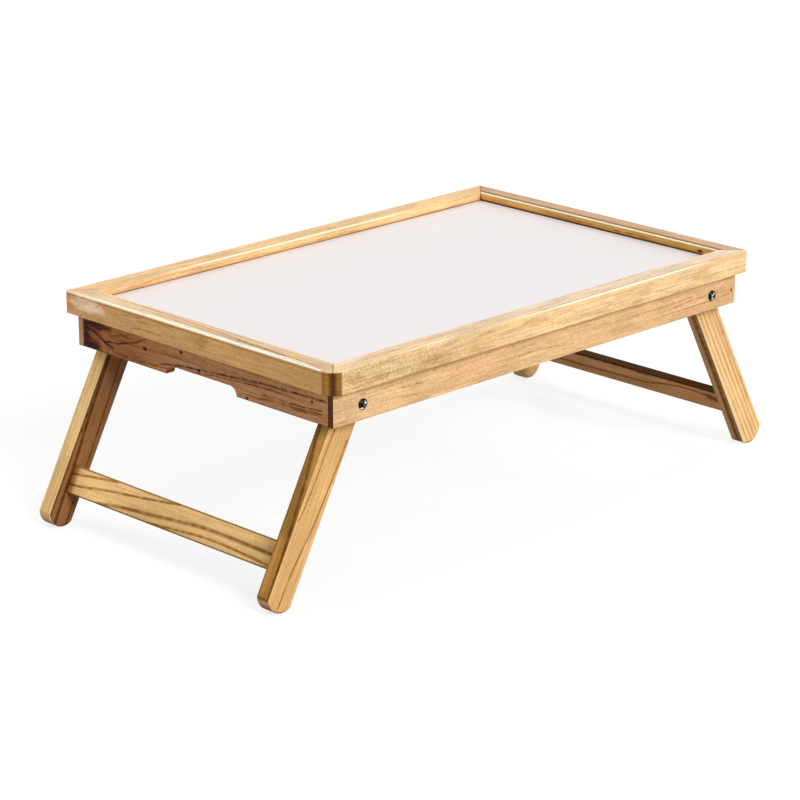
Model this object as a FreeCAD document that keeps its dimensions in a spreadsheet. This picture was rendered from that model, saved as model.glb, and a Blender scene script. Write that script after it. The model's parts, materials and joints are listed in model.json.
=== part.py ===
import FreeCAD, Part
import math
import os

import Sketcher
from FreeCAD import Placement, Rotation, Vector

# Bed tray table of clear-varnished pine, standing open on its four splayed legs.
# X runs along the long side, Y from front to back, Z up, all in millimetres.
# The origin is on the floor, under the middle of the tray.

UP = Vector(0, 0, 1)
ALONG_X = Vector(1, 0, 0)
ALONG_Y = Vector(0, 1, 0)
FRONT, BACK = -1, 1
LEFT, RIGHT = -1, 1
SIDE_NAMES = {LEFT: "left", RIGHT: "right"}
ROW_NAMES = {FRONT: "front", BACK: "back"}
TOLERANCE = 1e-6
QUARTER_TURN = 90
MITRE_ANGLE = 45

# Angles of directions in a sketch, anticlockwise from its first axis.
UPWARD = math.pi / 2
LEFTWARD = math.pi
DOWNWARD = 3 * math.pi / 2
EIGHTH = math.pi / 4

# Points of a sketch's geometry, and the sketch's own origin.
START, END, CENTRE = range(1, 4)
ORIGIN = (-1, 1)


class Measure:
    """A number together with the sheet formula that gives it."""

    def __init__(self, value, formula=None):
        self.value = float(value)
        self.formula = str(value) if formula is None else formula

    def __add__(self, other):
        other = measure(other)
        return Measure(self.value + other.value, f"({self.formula} + {other.formula})")

    def __sub__(self, other):
        other = measure(other)
        return Measure(self.value - other.value, f"({self.formula} - {other.formula})")

    def __mul__(self, other):
        other = measure(other)
        return Measure(self.value * other.value, f"({self.formula} * {other.formula})")

    def __truediv__(self, other):
        other = measure(other)
        return Measure(self.value / other.value, f"({self.formula} / {other.formula})")

    def __neg__(self):
        return self * -1

    def __radd__(self, other):
        return measure(other) + self

    def __rsub__(self, other):
        return measure(other) - self

    def __rmul__(self, other):
        return measure(other) * self


def measure(quantity):
    return quantity if isinstance(quantity, Measure) else Measure(quantity)


def cosine(angle):
    return Measure(math.cos(math.radians(angle.value)), f"cos({angle.formula})")


def sine(angle):
    return Measure(math.sin(math.radians(angle.value)), f"sin({angle.formula})")


def root(quantity):
    quantity = measure(quantity)
    return Measure(math.sqrt(quantity.value), f"sqrt({quantity.formula})")


document = FreeCAD.newDocument("bed_tray_table")
sheet = document.addObject("Spreadsheet::Sheet", "Sizes")
entered = []
nodes = []


def size(alias, value, meaning):
    """Enter an independent size in the sheet."""
    entered.append(alias)
    row = len(entered)
    sheet.set(f"A{row}", meaning)
    sheet.set(f"B{row}", str(value))
    sheet.setAlias(f"B{row}", alias)
    return Measure(value, "Sizes." + alias)


tray_length = size("tray_length", 500.0, "outer length of the rim")
tray_width = size("tray_width", 323.0, "outer width of the rim")
rim_width = size("rim_width", 19.5, "width of the rim seen from above")
rim_height = size("rim_height", 19.5, "height of the rim")
rim_rounding = size("rim_rounding", 1.8, "radius along the rim's two upper edges")
rim_overhang = size("rim_overhang", 7.3, "how far the rim stands out past the rails")
corner_rounding = size("corner_rounding", 2.2, "radius of three of the rim's corners from above")
worn_corner_rounding = size("worn_corner_rounding", 12.0, "radius of its front left corner")
panel_drop = size("panel_drop", 8.0, "depth of the tray floor below the top of the rim")
panel_thickness = size("panel_thickness", 3.0, "thickness of the laminated tray floor")
panel_groove_depth = size("panel_groove_depth", 5.0, "depth of the groove round the tray floor")
panel_play = size("panel_play", 0.2, "play of the tray floor in its groove")
rail_height = size("rail_height", 28.5, "height of the rails under the rim")
rail_thickness = size("rail_thickness", 9.5, "thickness of the rails")
rail_easing = size("rail_easing", 0.8, "radius along the rails' lower edges")
corner_lip = size("corner_lip", 6.0, "part of a long rail that covers the end of a short one")
grip_length = size("grip_length", 86.0, "length of the hand grip under each short rail")
grip_depth = size("grip_depth", 8.0, "depth of the hand grip, also the radius of its ends")
pivot_rise = size("pivot_rise", 13.1, "height of the pivots above the rails' lower edge")
splay_angle = size("splay_angle", 28.0, "lean of the open legs, in degrees from upright")
stop_gap = size("stop_gap", 0.3, "gap between an open leg and the rail edge that stops it")
leg_width = size("leg_width", 26.0, "width of a leg across its broad face")
leg_thickness = size("leg_thickness", 14.0, "thickness of a leg")
leg_reach = size("leg_reach", 160.5, "distance from the pivot to the centre of the foot arc")
foot_radius = size("foot_radius", 15.0, "radius of the arc that a leg stands on")
foot_corner = size("foot_corner", 3.0, "radius where the foot arc meets the leg's sides")
leg_easing = size("leg_easing", 1.0, "radius along the legs' edges")
leg_gap = size("leg_gap", 0.3, "running gap on each side of a leg")
stretcher_width = size("stretcher_width", 24.5, "width of a stretcher, along the legs")
stretcher_thickness = size("stretcher_thickness", 6.0, "thickness of a stretcher")
stretcher_reach = size("stretcher_reach", 134.0, "distance from the pivot to a stretcher's middle")
stretcher_easing = size("stretcher_easing", 0.8, "radius along the stretchers' edges")
mortise_depth = size("mortise_depth", 6.0, "depth of the mortise that holds a stretcher's end")
mortise_play = size("mortise_play", 0.1, "play of a stretcher in its mortises")
bolt_diameter = size("bolt_diameter", 5.0, "shank of a pivot bolt")
bolt_head_diameter = size("bolt_head_diameter", 9.0, "domed head of a pivot bolt")
bolt_head_height = size("bolt_head_height", 2.8, "height of the domed head")
bolt_head_edge = size("bolt_head_edge", 0.8, "height of the straight edge of the head")
recess_length = size("recess_length", 5.0, "length of each slot of the cross recess")
recess_width = size("recess_width", 1.2, "width of each slot of the cross recess")
recess_depth = size("recess_depth", 1.6, "depth of the cross recess")
bolt_excess = size("bolt_excess", 1.2, "thread that stands out past the lock nut")
bore_play = size("bore_play", 0.1, "radial play of a bolt in its bores")
spacer_diameter = size("spacer_diameter", 14.0, "washer between a rail and a leg")
spacer_thickness = size("spacer_thickness", 2.5, "thickness of that washer")
nut_washer_diameter = size("nut_washer_diameter", 12.0, "washer between a leg and its nut")
nut_washer_thickness = size("nut_washer_thickness", 1.0, "thickness of that washer")
nut_width = size("nut_width", 8.0, "lock nut across its flats")
nut_height = size("nut_height", 4.0, "height of the nut's hexagon")
nut_collar_diameter = size("nut_collar_diameter", 7.0, "locking collar on top of the nut")
nut_collar_height = size("nut_collar_height", 1.2, "height of the collar")
dowel_diameter = size("dowel_diameter", 5.0, "dowels between rim and rails")
dowel_rim_depth = size("dowel_rim_depth", 7.0, "length of a dowel in the rim")
dowel_rail_depth = size("dowel_rail_depth", 14.0, "length of a dowel in a rail")
dowel_play = size("dowel_play", 0.1, "play round a dowel and at its ends")
long_dowel_pitch = size("long_dowel_pitch", 165.0, "distance between a long rail's dowels")
short_dowel_pitch = size("short_dowel_pitch", 190.0, "distance between a short rail's dowels")
brad_diameter = size("brad_diameter", 1.6, "shank of a corner brad")
brad_head_diameter = size("brad_head_diameter", 2.6, "head of a corner brad")
brad_head_height = size("brad_head_height", 0.8, "height of that head")
brad_length = size("brad_length", 24.0, "length of a corner brad")
brad_rise = size("brad_rise", 12.3, "height of the brads above the rails' lower edge")
brad_setting = size("brad_setting", 0.3, "depth of the brad heads below the rail's face")
brad_play = size("brad_play", 0.05, "radial play round a brad")
plate_length = size("plate_length", 10.0, "length of the steel plate across a mitre")
plate_thickness = size("plate_thickness", 0.8, "thickness of that plate")
plate_height = size("plate_height", 6.0, "height of that plate")
plate_play = size("plate_play", 0.05, "play round that plate")
cut_margin = size("cut_margin", 1.0, "how far cutting shapes run past what they cut")
document.recompute()

# Places that follow from the sizes.
pivot_z = leg_reach * cosine(splay_angle) + foot_radius
rail_z = pivot_z - pivot_rise
rim_z = rail_z + rail_height
rail_end = tray_length / 2 - rim_overhang
rail_face = tray_width / 2 - rim_overhang
rail_back = rail_face - rail_thickness
rail_middle = rim_overhang + rail_thickness / 2
short_rail_half = rail_face - corner_lip
stop_reach = (leg_width / 2 + stop_gap + pivot_rise * sine(splay_angle)) / cosine(splay_angle)
pivot_x = rail_end - rail_thickness - stop_reach
leg_face = rail_back - spacer_thickness - leg_gap
leg_inside = leg_face - leg_thickness
nut_washer_face = leg_inside - leg_gap
nut_face = nut_washer_face - nut_washer_thickness
groove_top = rim_height - panel_drop
groove_bottom = groove_top - panel_thickness - panel_play
groove_reach = rim_width - panel_groove_depth
bolt_bore = bolt_diameter / 2 + bore_play
dowel_bore = dowel_diameter / 2 + dowel_play
brad_bore = brad_diameter / 2 + brad_play
brad_head_bore = brad_head_diameter / 2 + brad_play
long_dowels = [step * long_dowel_pitch for step in (-1, 0, 1)]
short_dowels = [step * short_dowel_pitch for step in (-0.5, 0.5)]


def bind(thing, prop, quantity):
    """Tie a property to the sheet; plain numbers are set as they are."""
    quantity = measure(quantity)
    if "Sizes." in quantity.formula:
        thing.setExpression(prop, quantity.formula)
    else:
        setattr(thing, prop, quantity.value)


def place(thing, x=0, y=0, z=0, axis=UP, angle=0):
    """Turn an object about an axis and move it, both tied to the sheet."""
    angle = measure(angle)
    thing.Placement = Placement(Vector(0, 0, 0), Rotation(axis, angle.value))
    for name, quantity in (("x", measure(x)), ("y", measure(y)), ("z", measure(z))):
        thing.setExpression("Placement.Base." + name, quantity.formula)
    if "Sizes." in angle.formula:
        thing.setExpression("Placement.Rotation.Angle", angle.formula)
    return thing


def keep(thing):
    """Count an object among the sub-parts."""
    nodes.append(thing)
    return thing


def new_body(label):
    body = document.addObject("PartDesign::Body", label)
    body.Label = label
    return body


def new_sketch(body, name, role, lift=0):
    """An empty sketch on one of the body's origin planes, lifted along its normal."""
    sketch = body.newObject("Sketcher::SketchObject", name)
    plane = next(feature for feature in body.Origin.OriginFeatures if feature.Role == role)
    sketch.AttachmentSupport = (plane, [""])
    sketch.MapMode = "FlatFace"
    sketch.setExpression("AttachmentOffset.Base.z", measure(lift).formula)
    return sketch


def fix(sketch, kind, quantity, *where):
    """Constrain a distance or radius of a sketch and tie it to the sheet."""
    quantity = measure(quantity)
    index = sketch.addConstraint(Sketcher.Constraint(kind, *where, quantity.value))
    if "Sizes." in quantity.formula:
        sketch.setExpression(f"Constraints[{index}]", quantity.formula)


def fix_point(sketch, geometry, point, across, upward):
    """Hold a point of a sketch at two distances from its origin."""
    fix(sketch, "DistanceX", across, *ORIGIN, geometry, point)
    fix(sketch, "DistanceY", upward, *ORIGIN, geometry, point)


def join(sketch, *ends):
    """Make points of a sketch, given as pairs of geometry and point, coincide."""
    for start, end in zip(ends[::2], ends[1::2]):
        sketch.addConstraint(Sketcher.Constraint("Coincident", *start, *end))


def line(start, end):
    return Part.LineSegment(flat_point(*start), flat_point(*end))


def flat_point(across, upward):
    return Vector(measure(across).value, measure(upward).value, 0)


def add_polygon(sketch, corners):
    """A closed outline of straight lines, with every corner tied to the sheet."""
    first = sketch.GeometryCount
    count = len(corners)
    for index, corner in enumerate(corners):
        sketch.addGeometry(line(corner, corners[(index + 1) % count]), False)
    for index, corner in enumerate(corners):
        join(sketch, (first + index, END), (first + (index + 1) % count, START))
        fix_point(sketch, first + index, START, *corner)


def add_circle(sketch, radius, across=0, upward=0):
    """A circle with its centre and radius tied to the sheet."""
    circle = Part.Circle(flat_point(across, upward), UP, radius.value)
    index = sketch.addGeometry(circle, False)
    fix(sketch, "Radius", radius, index)
    fix_point(sketch, index, CENTRE, across, upward)


def rectangle(left, bottom, right, top):
    return ((left, bottom), (right, bottom), (right, top), (left, top))


def pad(body, sketch, length, backward=False, both_ways=False):
    feature = body.newObject("PartDesign::Pad", sketch.Name + "_pad")
    feature.Profile = sketch
    feature.Reversed = backward
    feature.SideType = "Symmetric" if both_ways else "One side"
    bind(feature, "Length", length)
    sketch.Visibility = False


def pocket(body, sketch, depth, backward=False):
    """Cut a sketch to a depth."""
    feature = body.newObject("PartDesign::Pocket", sketch.Name + "_pocket")
    feature.Profile = sketch
    feature.Reversed = backward
    bind(feature, "Length", depth)
    sketch.Visibility = False


def cut_through(body, sketch):
    """Cut a sketch right through the body, both ways."""
    feature = body.newObject("PartDesign::Pocket", sketch.Name + "_cut")
    feature.Profile = sketch
    feature.Type = "ThroughAll"
    feature.SideType = "Symmetric"
    sketch.Visibility = False


def ease(body, name, radius, wanted):
    """Round those edges of the body so far that a test picks."""
    document.recompute()
    base = body.Tip
    edges = enumerate(base.Shape.Edges, start=1)
    chosen = [f"Edge{index}" for index, edge in edges if wanted(edge)]
    fillet = body.newObject("PartDesign::Fillet", name)
    fillet.Base = (base, chosen)
    bind(fillet, "Radius", radius)


def runs_along(edge, axis):
    """Whether an edge is a straight line in a given direction."""
    if not isinstance(edge.Curve, Part.Line):
        return False
    return abs(abs(edge.Curve.Direction.dot(axis)) - 1) < TOLERANCE


def at_height(edge, height):
    return all(abs(vertex.Z - height) < TOLERANCE for vertex in edge.Vertexes)


def group(label, members):
    """One sub-part made of several equal pieces."""
    compound = document.addObject("Part::Compound", label)
    compound.Label = label
    compound.Links = members
    return keep(compound)


def cylinder(label, radius, height, lift=0):
    """An upright cylinder that starts at a height above its own origin."""
    solid = document.addObject("Part::Cylinder", label)
    bind(solid, "Radius", radius)
    bind(solid, "Height", height)
    return place(solid, z=lift)


def combine(kind, label, base, tool):
    """A base with a tool cut out of it or fused to it."""
    result = document.addObject("Part::" + kind, label)
    result.Base = base
    result.Tool = tool
    return result


def make_rim(label, length, dowel_offsets, roundings, turn, x=0, y=0):
    """A mitred length of rim: its outer face on local Y 0, its inner side towards +Y."""
    body = new_body(label)
    half = length / 2

    section = new_sketch(body, label + "_section", "YZ_Plane")
    add_polygon(section, (
        (0, 0),
        (rim_width, 0),
        (rim_width, groove_bottom),
        (groove_reach, groove_bottom),
        (groove_reach, groove_top),
        (rim_width, groove_top),
        (rim_width, rim_height),
        (0, rim_height),
    ))
    pad(body, section, length, both_ways=True)

    mitres = new_sketch(body, label + "_mitres", "XY_Plane")
    for end in (LEFT, RIGHT):
        outer = end * (half + cut_margin)
        inner = end * (half - rim_width - cut_margin)
        add_polygon(mitres, (
            (outer, -cut_margin),
            (inner, rim_width + cut_margin),
            (outer, rim_width + cut_margin),
        ))
    cut_through(body, mitres)

    # Outside the quarter circle whose middle lies on the mitre, the corner is taken off.
    corners = new_sketch(body, label + "_corners", "XY_Plane")
    for end, rounding in zip((LEFT, RIGHT), roundings):
        first = corners.GeometryCount
        shrink = rounding * (1 - root(0.5))
        tangent = (end * (half - rounding), 0)
        centre = (end * (half - rounding), rounding)
        middle = (end * (half - shrink), shrink)
        above = (end * (half - rounding), -cut_margin)
        beyond = (end * (half + cut_margin), -cut_margin)
        beside = (end * (half + cut_margin), shrink)
        circle = Part.Circle(flat_point(*centre), UP, rounding.value)
        first_angle = DOWNWARD - EIGHTH if end == LEFT else DOWNWARD
        arc = Part.ArcOfCircle(circle, first_angle, first_angle + EIGHTH)
        corners.addGeometry(arc, False)
        corners.addGeometry(line(tangent, above), False)
        corners.addGeometry(line(above, beyond), False)
        corners.addGeometry(line(beyond, beside), False)
        corners.addGeometry(line(beside, middle), False)
        at_tangent, at_middle = (END, START) if end == LEFT else (START, END)
        join(corners, (first, at_tangent), (first + 1, START), (first + 1, END), (first + 2, START),
             (first + 2, END), (first + 3, START), (first + 3, END), (first + 4, START),
             (first + 4, END), (first, at_middle))
        fix_point(corners, first, CENTRE, *centre)
        fix_point(corners, first + 1, START, *tangent)
        fix_point(corners, first + 2, START, *above)
        fix_point(corners, first + 3, START, *beyond)
        fix_point(corners, first + 4, START, *beside)
        fix(corners, "DistanceX", middle[0], *ORIGIN, first + 4, END)
    cut_through(body, corners)

    top = rim_height.value
    ease(body, label + "_rounding", rim_rounding,
         lambda edge: at_height(edge, top) and not on_mitre(edge, half.value))

    dowels = new_sketch(body, label + "_dowel_bores", "XY_Plane")
    for offset in dowel_offsets:
        add_circle(dowels, dowel_bore, offset, rail_middle)
    pocket(body, dowels, dowel_rim_depth + dowel_play, backward=True)

    # Half of a slot for the steel plate that crosses each mitre at right angles.
    slots = new_sketch(body, label + "_plate_slots", "XY_Plane")
    along = (plate_length / 2 + plate_play) * root(0.5)
    across = (plate_thickness / 2 + plate_play) * root(0.5)
    for end in (LEFT, RIGHT):
        centre = half - rail_middle
        add_polygon(slots, (
            (end * (centre + along - across), rail_middle + along + across),
            (end * (centre + along + across), rail_middle + along - across),
            (end * (centre - along + across), rail_middle - along - across),
            (end * (centre - along - across), rail_middle - along + across),
        ))
    pocket(body, slots, plate_height + plate_play, backward=True)

    place(body, x, y, rim_z, UP, turn)
    return keep(body)


def on_mitre(edge, half):
    """Whether an edge lies along one of the two mitres of a rim of this half length."""
    ends = [vertex.Point for vertex in edge.Vertexes]
    one_side = ends[0].x * ends[-1].x > 0
    return one_side and all(abs(half - abs(end.x) - end.y) < TOLERANCE for end in ends)


def make_panel():
    """The laminated tray floor, held in the grooves of the rim."""
    panel = document.addObject("Part::Box", "tray_panel")
    panel.Label = "tray_panel"
    half_length = tray_length / 2 - groove_reach - panel_play
    half_width = tray_width / 2 - groove_reach - panel_play
    bind(panel, "Length", half_length * 2)
    bind(panel, "Width", half_width * 2)
    bind(panel, "Height", panel_thickness)
    place(panel, -half_length, -half_width, rim_z + groove_bottom + panel_play / 2)
    return keep(panel)


def make_long_rail(label, row):
    """A front or back rail whose ends lap over the short rails."""
    body = new_body(label)

    plan = new_sketch(body, label + "_plan", "XY_Plane")
    shoulder = rail_end - rail_thickness
    add_polygon(plan, (
        (-rail_end, row * rail_face),
        (rail_end, row * rail_face),
        (rail_end, row * short_rail_half),
        (shoulder, row * short_rail_half),
        (shoulder, row * rail_back),
        (-shoulder, row * rail_back),
        (-shoulder, row * short_rail_half),
        (-rail_end, row * short_rail_half),
    ))
    pad(body, plan, rail_height)
    face = row * rail_face.value
    ease(body, label + "_easing", rail_easing,
         lambda edge: runs_along(edge, ALONG_X) and at_height(edge, 0)
         and abs(edge.Vertexes[0].Y - face) < TOLERANCE)

    bores = new_sketch(body, label + "_bores", "XZ_Plane")
    for end in (LEFT, RIGHT):
        add_circle(bores, bolt_bore, end * pivot_x, pivot_rise)
        add_circle(bores, brad_bore, end * (rail_end - rail_thickness / 2), brad_rise)
    cut_through(body, bores)

    heads = new_sketch(body, label + "_brad_heads", "XZ_Plane", -row * rail_face)
    for end in (LEFT, RIGHT):
        add_circle(heads, brad_head_bore, end * (rail_end - rail_thickness / 2), brad_rise)
    pocket(body, heads, brad_setting + brad_head_height + brad_play, backward=row == BACK)

    dowels = new_sketch(body, label + "_dowel_bores", "XY_Plane", rail_height)
    for offset in long_dowels:
        add_circle(dowels, dowel_bore, offset, row * (rail_face - rail_thickness / 2))
    pocket(body, dowels, dowel_rail_depth + dowel_play)

    place(body, z=rail_z)
    return keep(body)


def make_short_rail(label, side):
    """A left or right rail with a hand grip cut out of its lower edge."""
    body = new_body(label)

    # Each end of the grip is a quarter circle round a point on the rail's lower edge.
    face = new_sketch(body, label + "_face", "YZ_Plane")
    half_grip = grip_length / 2
    flat = half_grip - grip_depth
    outline = (
        (-short_rail_half, 0),
        (-half_grip, 0),
        (-flat, grip_depth),
        (flat, grip_depth),
        (half_grip, 0),
        (short_rail_half, 0),
        (short_rail_half, rail_height),
        (-short_rail_half, rail_height),
    )
    count = len(outline)
    first_arc, second_arc = 1, 3
    for index, corner in enumerate(outline):
        if index == first_arc:
            circle = Part.Circle(flat_point(-flat, 0), UP, grip_depth.value)
            face.addGeometry(Part.ArcOfCircle(circle, UPWARD, LEFTWARD), False)
        elif index == second_arc:
            circle = Part.Circle(flat_point(flat, 0), UP, grip_depth.value)
            face.addGeometry(Part.ArcOfCircle(circle, 0, UPWARD), False)
        else:
            face.addGeometry(line(corner, outline[(index + 1) % count]), False)
    # Arcs run anticlockwise, against the outline, so their starts are its ends.
    starts = [END if index in (first_arc, second_arc) else START for index in range(count)]
    ends = [START if start == END else END for start in starts]
    for index, corner in enumerate(outline):
        following = (index + 1) % count
        join(face, (index, ends[index]), (following, starts[following]))
        fix_point(face, index, starts[index], *corner)
    fix(face, "DistanceX", -flat, *ORIGIN, first_arc, CENTRE)
    fix(face, "DistanceX", flat, *ORIGIN, second_arc, CENTRE)
    pad(body, face, rail_thickness, both_ways=True)
    ease(body, label + "_easing", rail_easing,
         lambda edge: runs_along(edge, ALONG_Y) and at_height(edge, 0))

    for row in (FRONT, BACK):
        brads = new_sketch(body, f"{label}_brad_bore_{ROW_NAMES[row]}", "XZ_Plane",
                           -row * short_rail_half)
        add_circle(brads, brad_bore, 0, brad_rise)
        pocket(body, brads, brad_setting + brad_length - corner_lip + brad_play,
               backward=row == BACK)

    dowels = new_sketch(body, label + "_dowel_bores", "XY_Plane", rail_height)
    for offset in short_dowels:
        add_circle(dowels, dowel_bore, 0, offset)
    pocket(body, dowels, dowel_rail_depth + dowel_play)

    place(body, side * (rail_end - rail_thickness / 2), 0, rail_z)
    return keep(body)


def make_leg(label, side, row):
    """A leg with its pivot at its own origin, its foot towards -Z before it is leaned."""
    body = new_body(label)
    half = leg_width / 2
    corner = leg_reach + root(foot_radius * foot_radius - half * half)

    profile = new_sketch(body, label + "_profile", "XZ_Plane")
    head = Part.Circle(flat_point(0, 0), UP, half.value)
    foot = Part.Circle(flat_point(0, -leg_reach), UP, foot_radius.value)
    spread = math.asin(half.value / foot_radius.value)
    head_arc, left_edge, foot_arc, right_edge = range(4)
    profile.addGeometry(Part.ArcOfCircle(head, 0, LEFTWARD), False)
    profile.addGeometry(line((-half, 0), (-half, -corner)), False)
    profile.addGeometry(Part.ArcOfCircle(foot, DOWNWARD - spread, DOWNWARD + spread), False)
    profile.addGeometry(line((half, -corner), (half, 0)), False)
    join(profile, (head_arc, END), (left_edge, START), (left_edge, END), (foot_arc, START),
         (foot_arc, END), (right_edge, START), (right_edge, END), (head_arc, START))
    fix_point(profile, left_edge, START, -half, 0)
    fix_point(profile, right_edge, END, half, 0)
    fix(profile, "DistanceY", 0, *ORIGIN, head_arc, CENTRE)
    fix(profile, "DistanceX", -half, *ORIGIN, left_edge, END)
    fix(profile, "DistanceX", half, *ORIGIN, right_edge, START)
    fix(profile, "DistanceY", -leg_reach, *ORIGIN, foot_arc, CENTRE)
    fix(profile, "Radius", foot_radius, foot_arc)
    fix(profile, "DistanceX", 0, *ORIGIN, foot_arc, CENTRE)
    pad(body, profile, leg_thickness, backward=row == FRONT)
    ease(body, label + "_foot_corners", foot_corner,
         lambda edge: runs_along(edge, ALONG_Y) and edge.Vertexes[0].Z < -leg_reach.value)
    ease(body, label + "_easing", leg_easing, lambda edge: not runs_along(edge, ALONG_Y))

    bore = new_sketch(body, label + "_pivot_bore", "XZ_Plane")
    add_circle(bore, bolt_bore)
    cut_through(body, bore)

    mortise = new_sketch(body, label + "_mortise", "XZ_Plane", row * leg_thickness)
    across = stretcher_thickness / 2 + mortise_play
    upward = stretcher_width / 2 + mortise_play
    add_polygon(mortise, rectangle(-across, -stretcher_reach - upward,
                                   across, -stretcher_reach + upward))
    pocket(body, mortise, mortise_depth + mortise_play, backward=row == FRONT)

    place(body, side * pivot_x, row * leg_face, pivot_z, ALONG_Y, -side * splay_angle)
    return keep(body)


def make_stretcher(label, side):
    """A flat board let into the inner faces of a pair of legs."""
    body = new_body(label)
    section = new_sketch(body, label + "_section", "XZ_Plane")
    add_polygon(section, rectangle(
        -stretcher_thickness / 2, -stretcher_reach - stretcher_width / 2,
        stretcher_thickness / 2, -stretcher_reach + stretcher_width / 2))
    pad(body, section, (leg_inside + mortise_depth) * 2, both_ways=True)
    ease(body, label + "_easing", stretcher_easing, lambda edge: runs_along(edge, ALONG_Y))
    place(body, side * pivot_x, 0, pivot_z, ALONG_Y, -side * splay_angle)
    return keep(body)


def at_pivot(piece, side, row, outer_face):
    """Lay an upright piece across a pivot, with its Z towards the outside."""
    return place(piece, side * pivot_x, row * outer_face, pivot_z, ALONG_X, -row * QUARTER_TURN)


def make_bolt(label, side, row):
    """A pivot bolt with a domed head that has a cross recess."""
    body = new_body(label)
    length = rail_face - nut_face + nut_height + nut_collar_height + bolt_excess
    radius = bolt_head_diameter / 2
    rise = bolt_head_height - bolt_head_edge
    dome = (radius * radius + rise * rise) / (rise * 2)
    outline = (
        (0, bolt_head_height),
        (0, -length),
        (bolt_diameter / 2, -length),
        (bolt_diameter / 2, 0),
        (radius, 0),
        (radius, bolt_head_edge),
    )
    profile = new_sketch(body, label + "_profile", "XZ_Plane")
    last = len(outline) - 1
    for index in range(last):
        profile.addGeometry(line(outline[index], outline[index + 1]), False)
    centre_height = bolt_head_height - dome
    start = math.atan2((bolt_head_edge - centre_height).value, radius.value)
    circle = Part.Circle(flat_point(0, centre_height), UP, dome.value)
    profile.addGeometry(Part.ArcOfCircle(circle, start, UPWARD), False)
    for index in range(last):
        join(profile, (index, END), (index + 1, START))
    join(profile, (last, END), (0, START))
    for index, corner in enumerate(outline):
        fix_point(profile, index, START, *corner)
    fix(profile, "DistanceX", 0, *ORIGIN, last, CENTRE)
    turning = body.newObject("PartDesign::Revolution", label + "_turning")
    turning.Profile = profile
    turning.ReferenceAxis = (profile, ["V_Axis"])
    turning.Angle = 360
    profile.Visibility = False

    recess = new_sketch(body, label + "_recess", "XY_Plane", bolt_head_height)
    far = recess_length / 2
    near = recess_width / 2
    add_polygon(recess, (
        (near, near), (near, far), (-near, far), (-near, near),
        (-far, near), (-far, -near), (-near, -near), (-near, -far),
        (near, -far), (near, -near), (far, -near), (far, near),
    ))
    pocket(body, recess, recess_depth)
    return at_pivot(body, side, row, rail_face)


def make_washer(label, diameter, thickness, side, row, outer_face):
    """A flat washer round a pivot bolt, below its outer face."""
    disc = cylinder(label + "_disc", diameter / 2, thickness, -thickness)
    hole = cylinder(label + "_hole", bolt_bore, thickness + cut_margin * 2,
                    -thickness - cut_margin)
    return at_pivot(combine("Cut", label, disc, hole), side, row, outer_face)


def make_nut(label, side, row):
    """A hexagonal lock nut with a round collar on its inner side."""
    hexagon = document.addObject("Part::Prism", label + "_hexagon")
    hexagon.Polygon = 6
    bind(hexagon, "Circumradius", nut_width / root(3))
    bind(hexagon, "Height", nut_height)
    place(hexagon, z=-nut_height)
    depth = nut_height + nut_collar_height
    collar = cylinder(label + "_collar", nut_collar_diameter / 2, nut_collar_height, -depth)
    hole = cylinder(label + "_hole", bolt_bore, depth + cut_margin * 2, -depth - cut_margin)
    blank = combine("Fuse", label + "_blank", hexagon, collar)
    return at_pivot(combine("Cut", label, blank, hole), side, row, nut_face)


def make_dowels():
    """Dowels that stand half in the rails and half in the rim."""
    spots = []
    for row in (FRONT, BACK):
        for offset in long_dowels:
            spots.append((offset, row * (rail_face - rail_thickness / 2)))
    for side in (LEFT, RIGHT):
        for offset in short_dowels:
            spots.append((side * (rail_end - rail_thickness / 2), offset))
    members = []
    for number, (x, y) in enumerate(spots, start=1):
        dowel = cylinder(f"dowel_{number}", dowel_diameter / 2,
                         dowel_rim_depth + dowel_rail_depth)
        members.append(place(dowel, x, y, rim_z - dowel_rail_depth))
    return group("rim_dowels", members)


def make_brad(label, side, row):
    """A headed brad through the long rail's lip into the end of the short rail."""
    shank = cylinder(label + "_shank", brad_diameter / 2, brad_length, -brad_length)
    head = cylinder(label + "_head", brad_head_diameter / 2, brad_head_height,
                    -brad_head_height)
    return place(combine("Fuse", label, shank, head),
                 side * (rail_end - rail_thickness / 2), row * (rail_face - brad_setting),
                 rail_z + brad_rise, ALONG_X, -row * QUARTER_TURN)


def make_mitre_plate(label, side, row):
    """A small steel plate driven across a mitre from below, at right angles to it."""
    plate = document.addObject("Part::Box", label)
    bind(plate, "Length", plate_length)
    bind(plate, "Width", plate_thickness)
    bind(plate, "Height", plate_height)
    turn = measure(-MITRE_ANGLE * side * row)
    half_length = plate_length / 2
    half_thickness = plate_thickness / 2
    x_shift = half_length * cosine(turn) - half_thickness * sine(turn)
    y_shift = half_length * sine(turn) + half_thickness * cosine(turn)
    return place(plate, side * (tray_length / 2 - rail_middle) - x_shift,
                 row * (tray_width / 2 - rail_middle) - y_shift, rim_z, UP, turn)


def find_faults():
    """Every object that failed or has no sound shape."""
    faults = []
    for thing in document.Objects:
        if "Invalid" in thing.State or "Error" in thing.State:
            faults.append(f"{thing.Label}: {thing.State}")
    for node in nodes:
        if node.Shape.isNull() or not node.Shape.isValid() or not node.Shape.Solids:
            faults.append(f"{node.Label}: no sound shape")
    return faults


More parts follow.
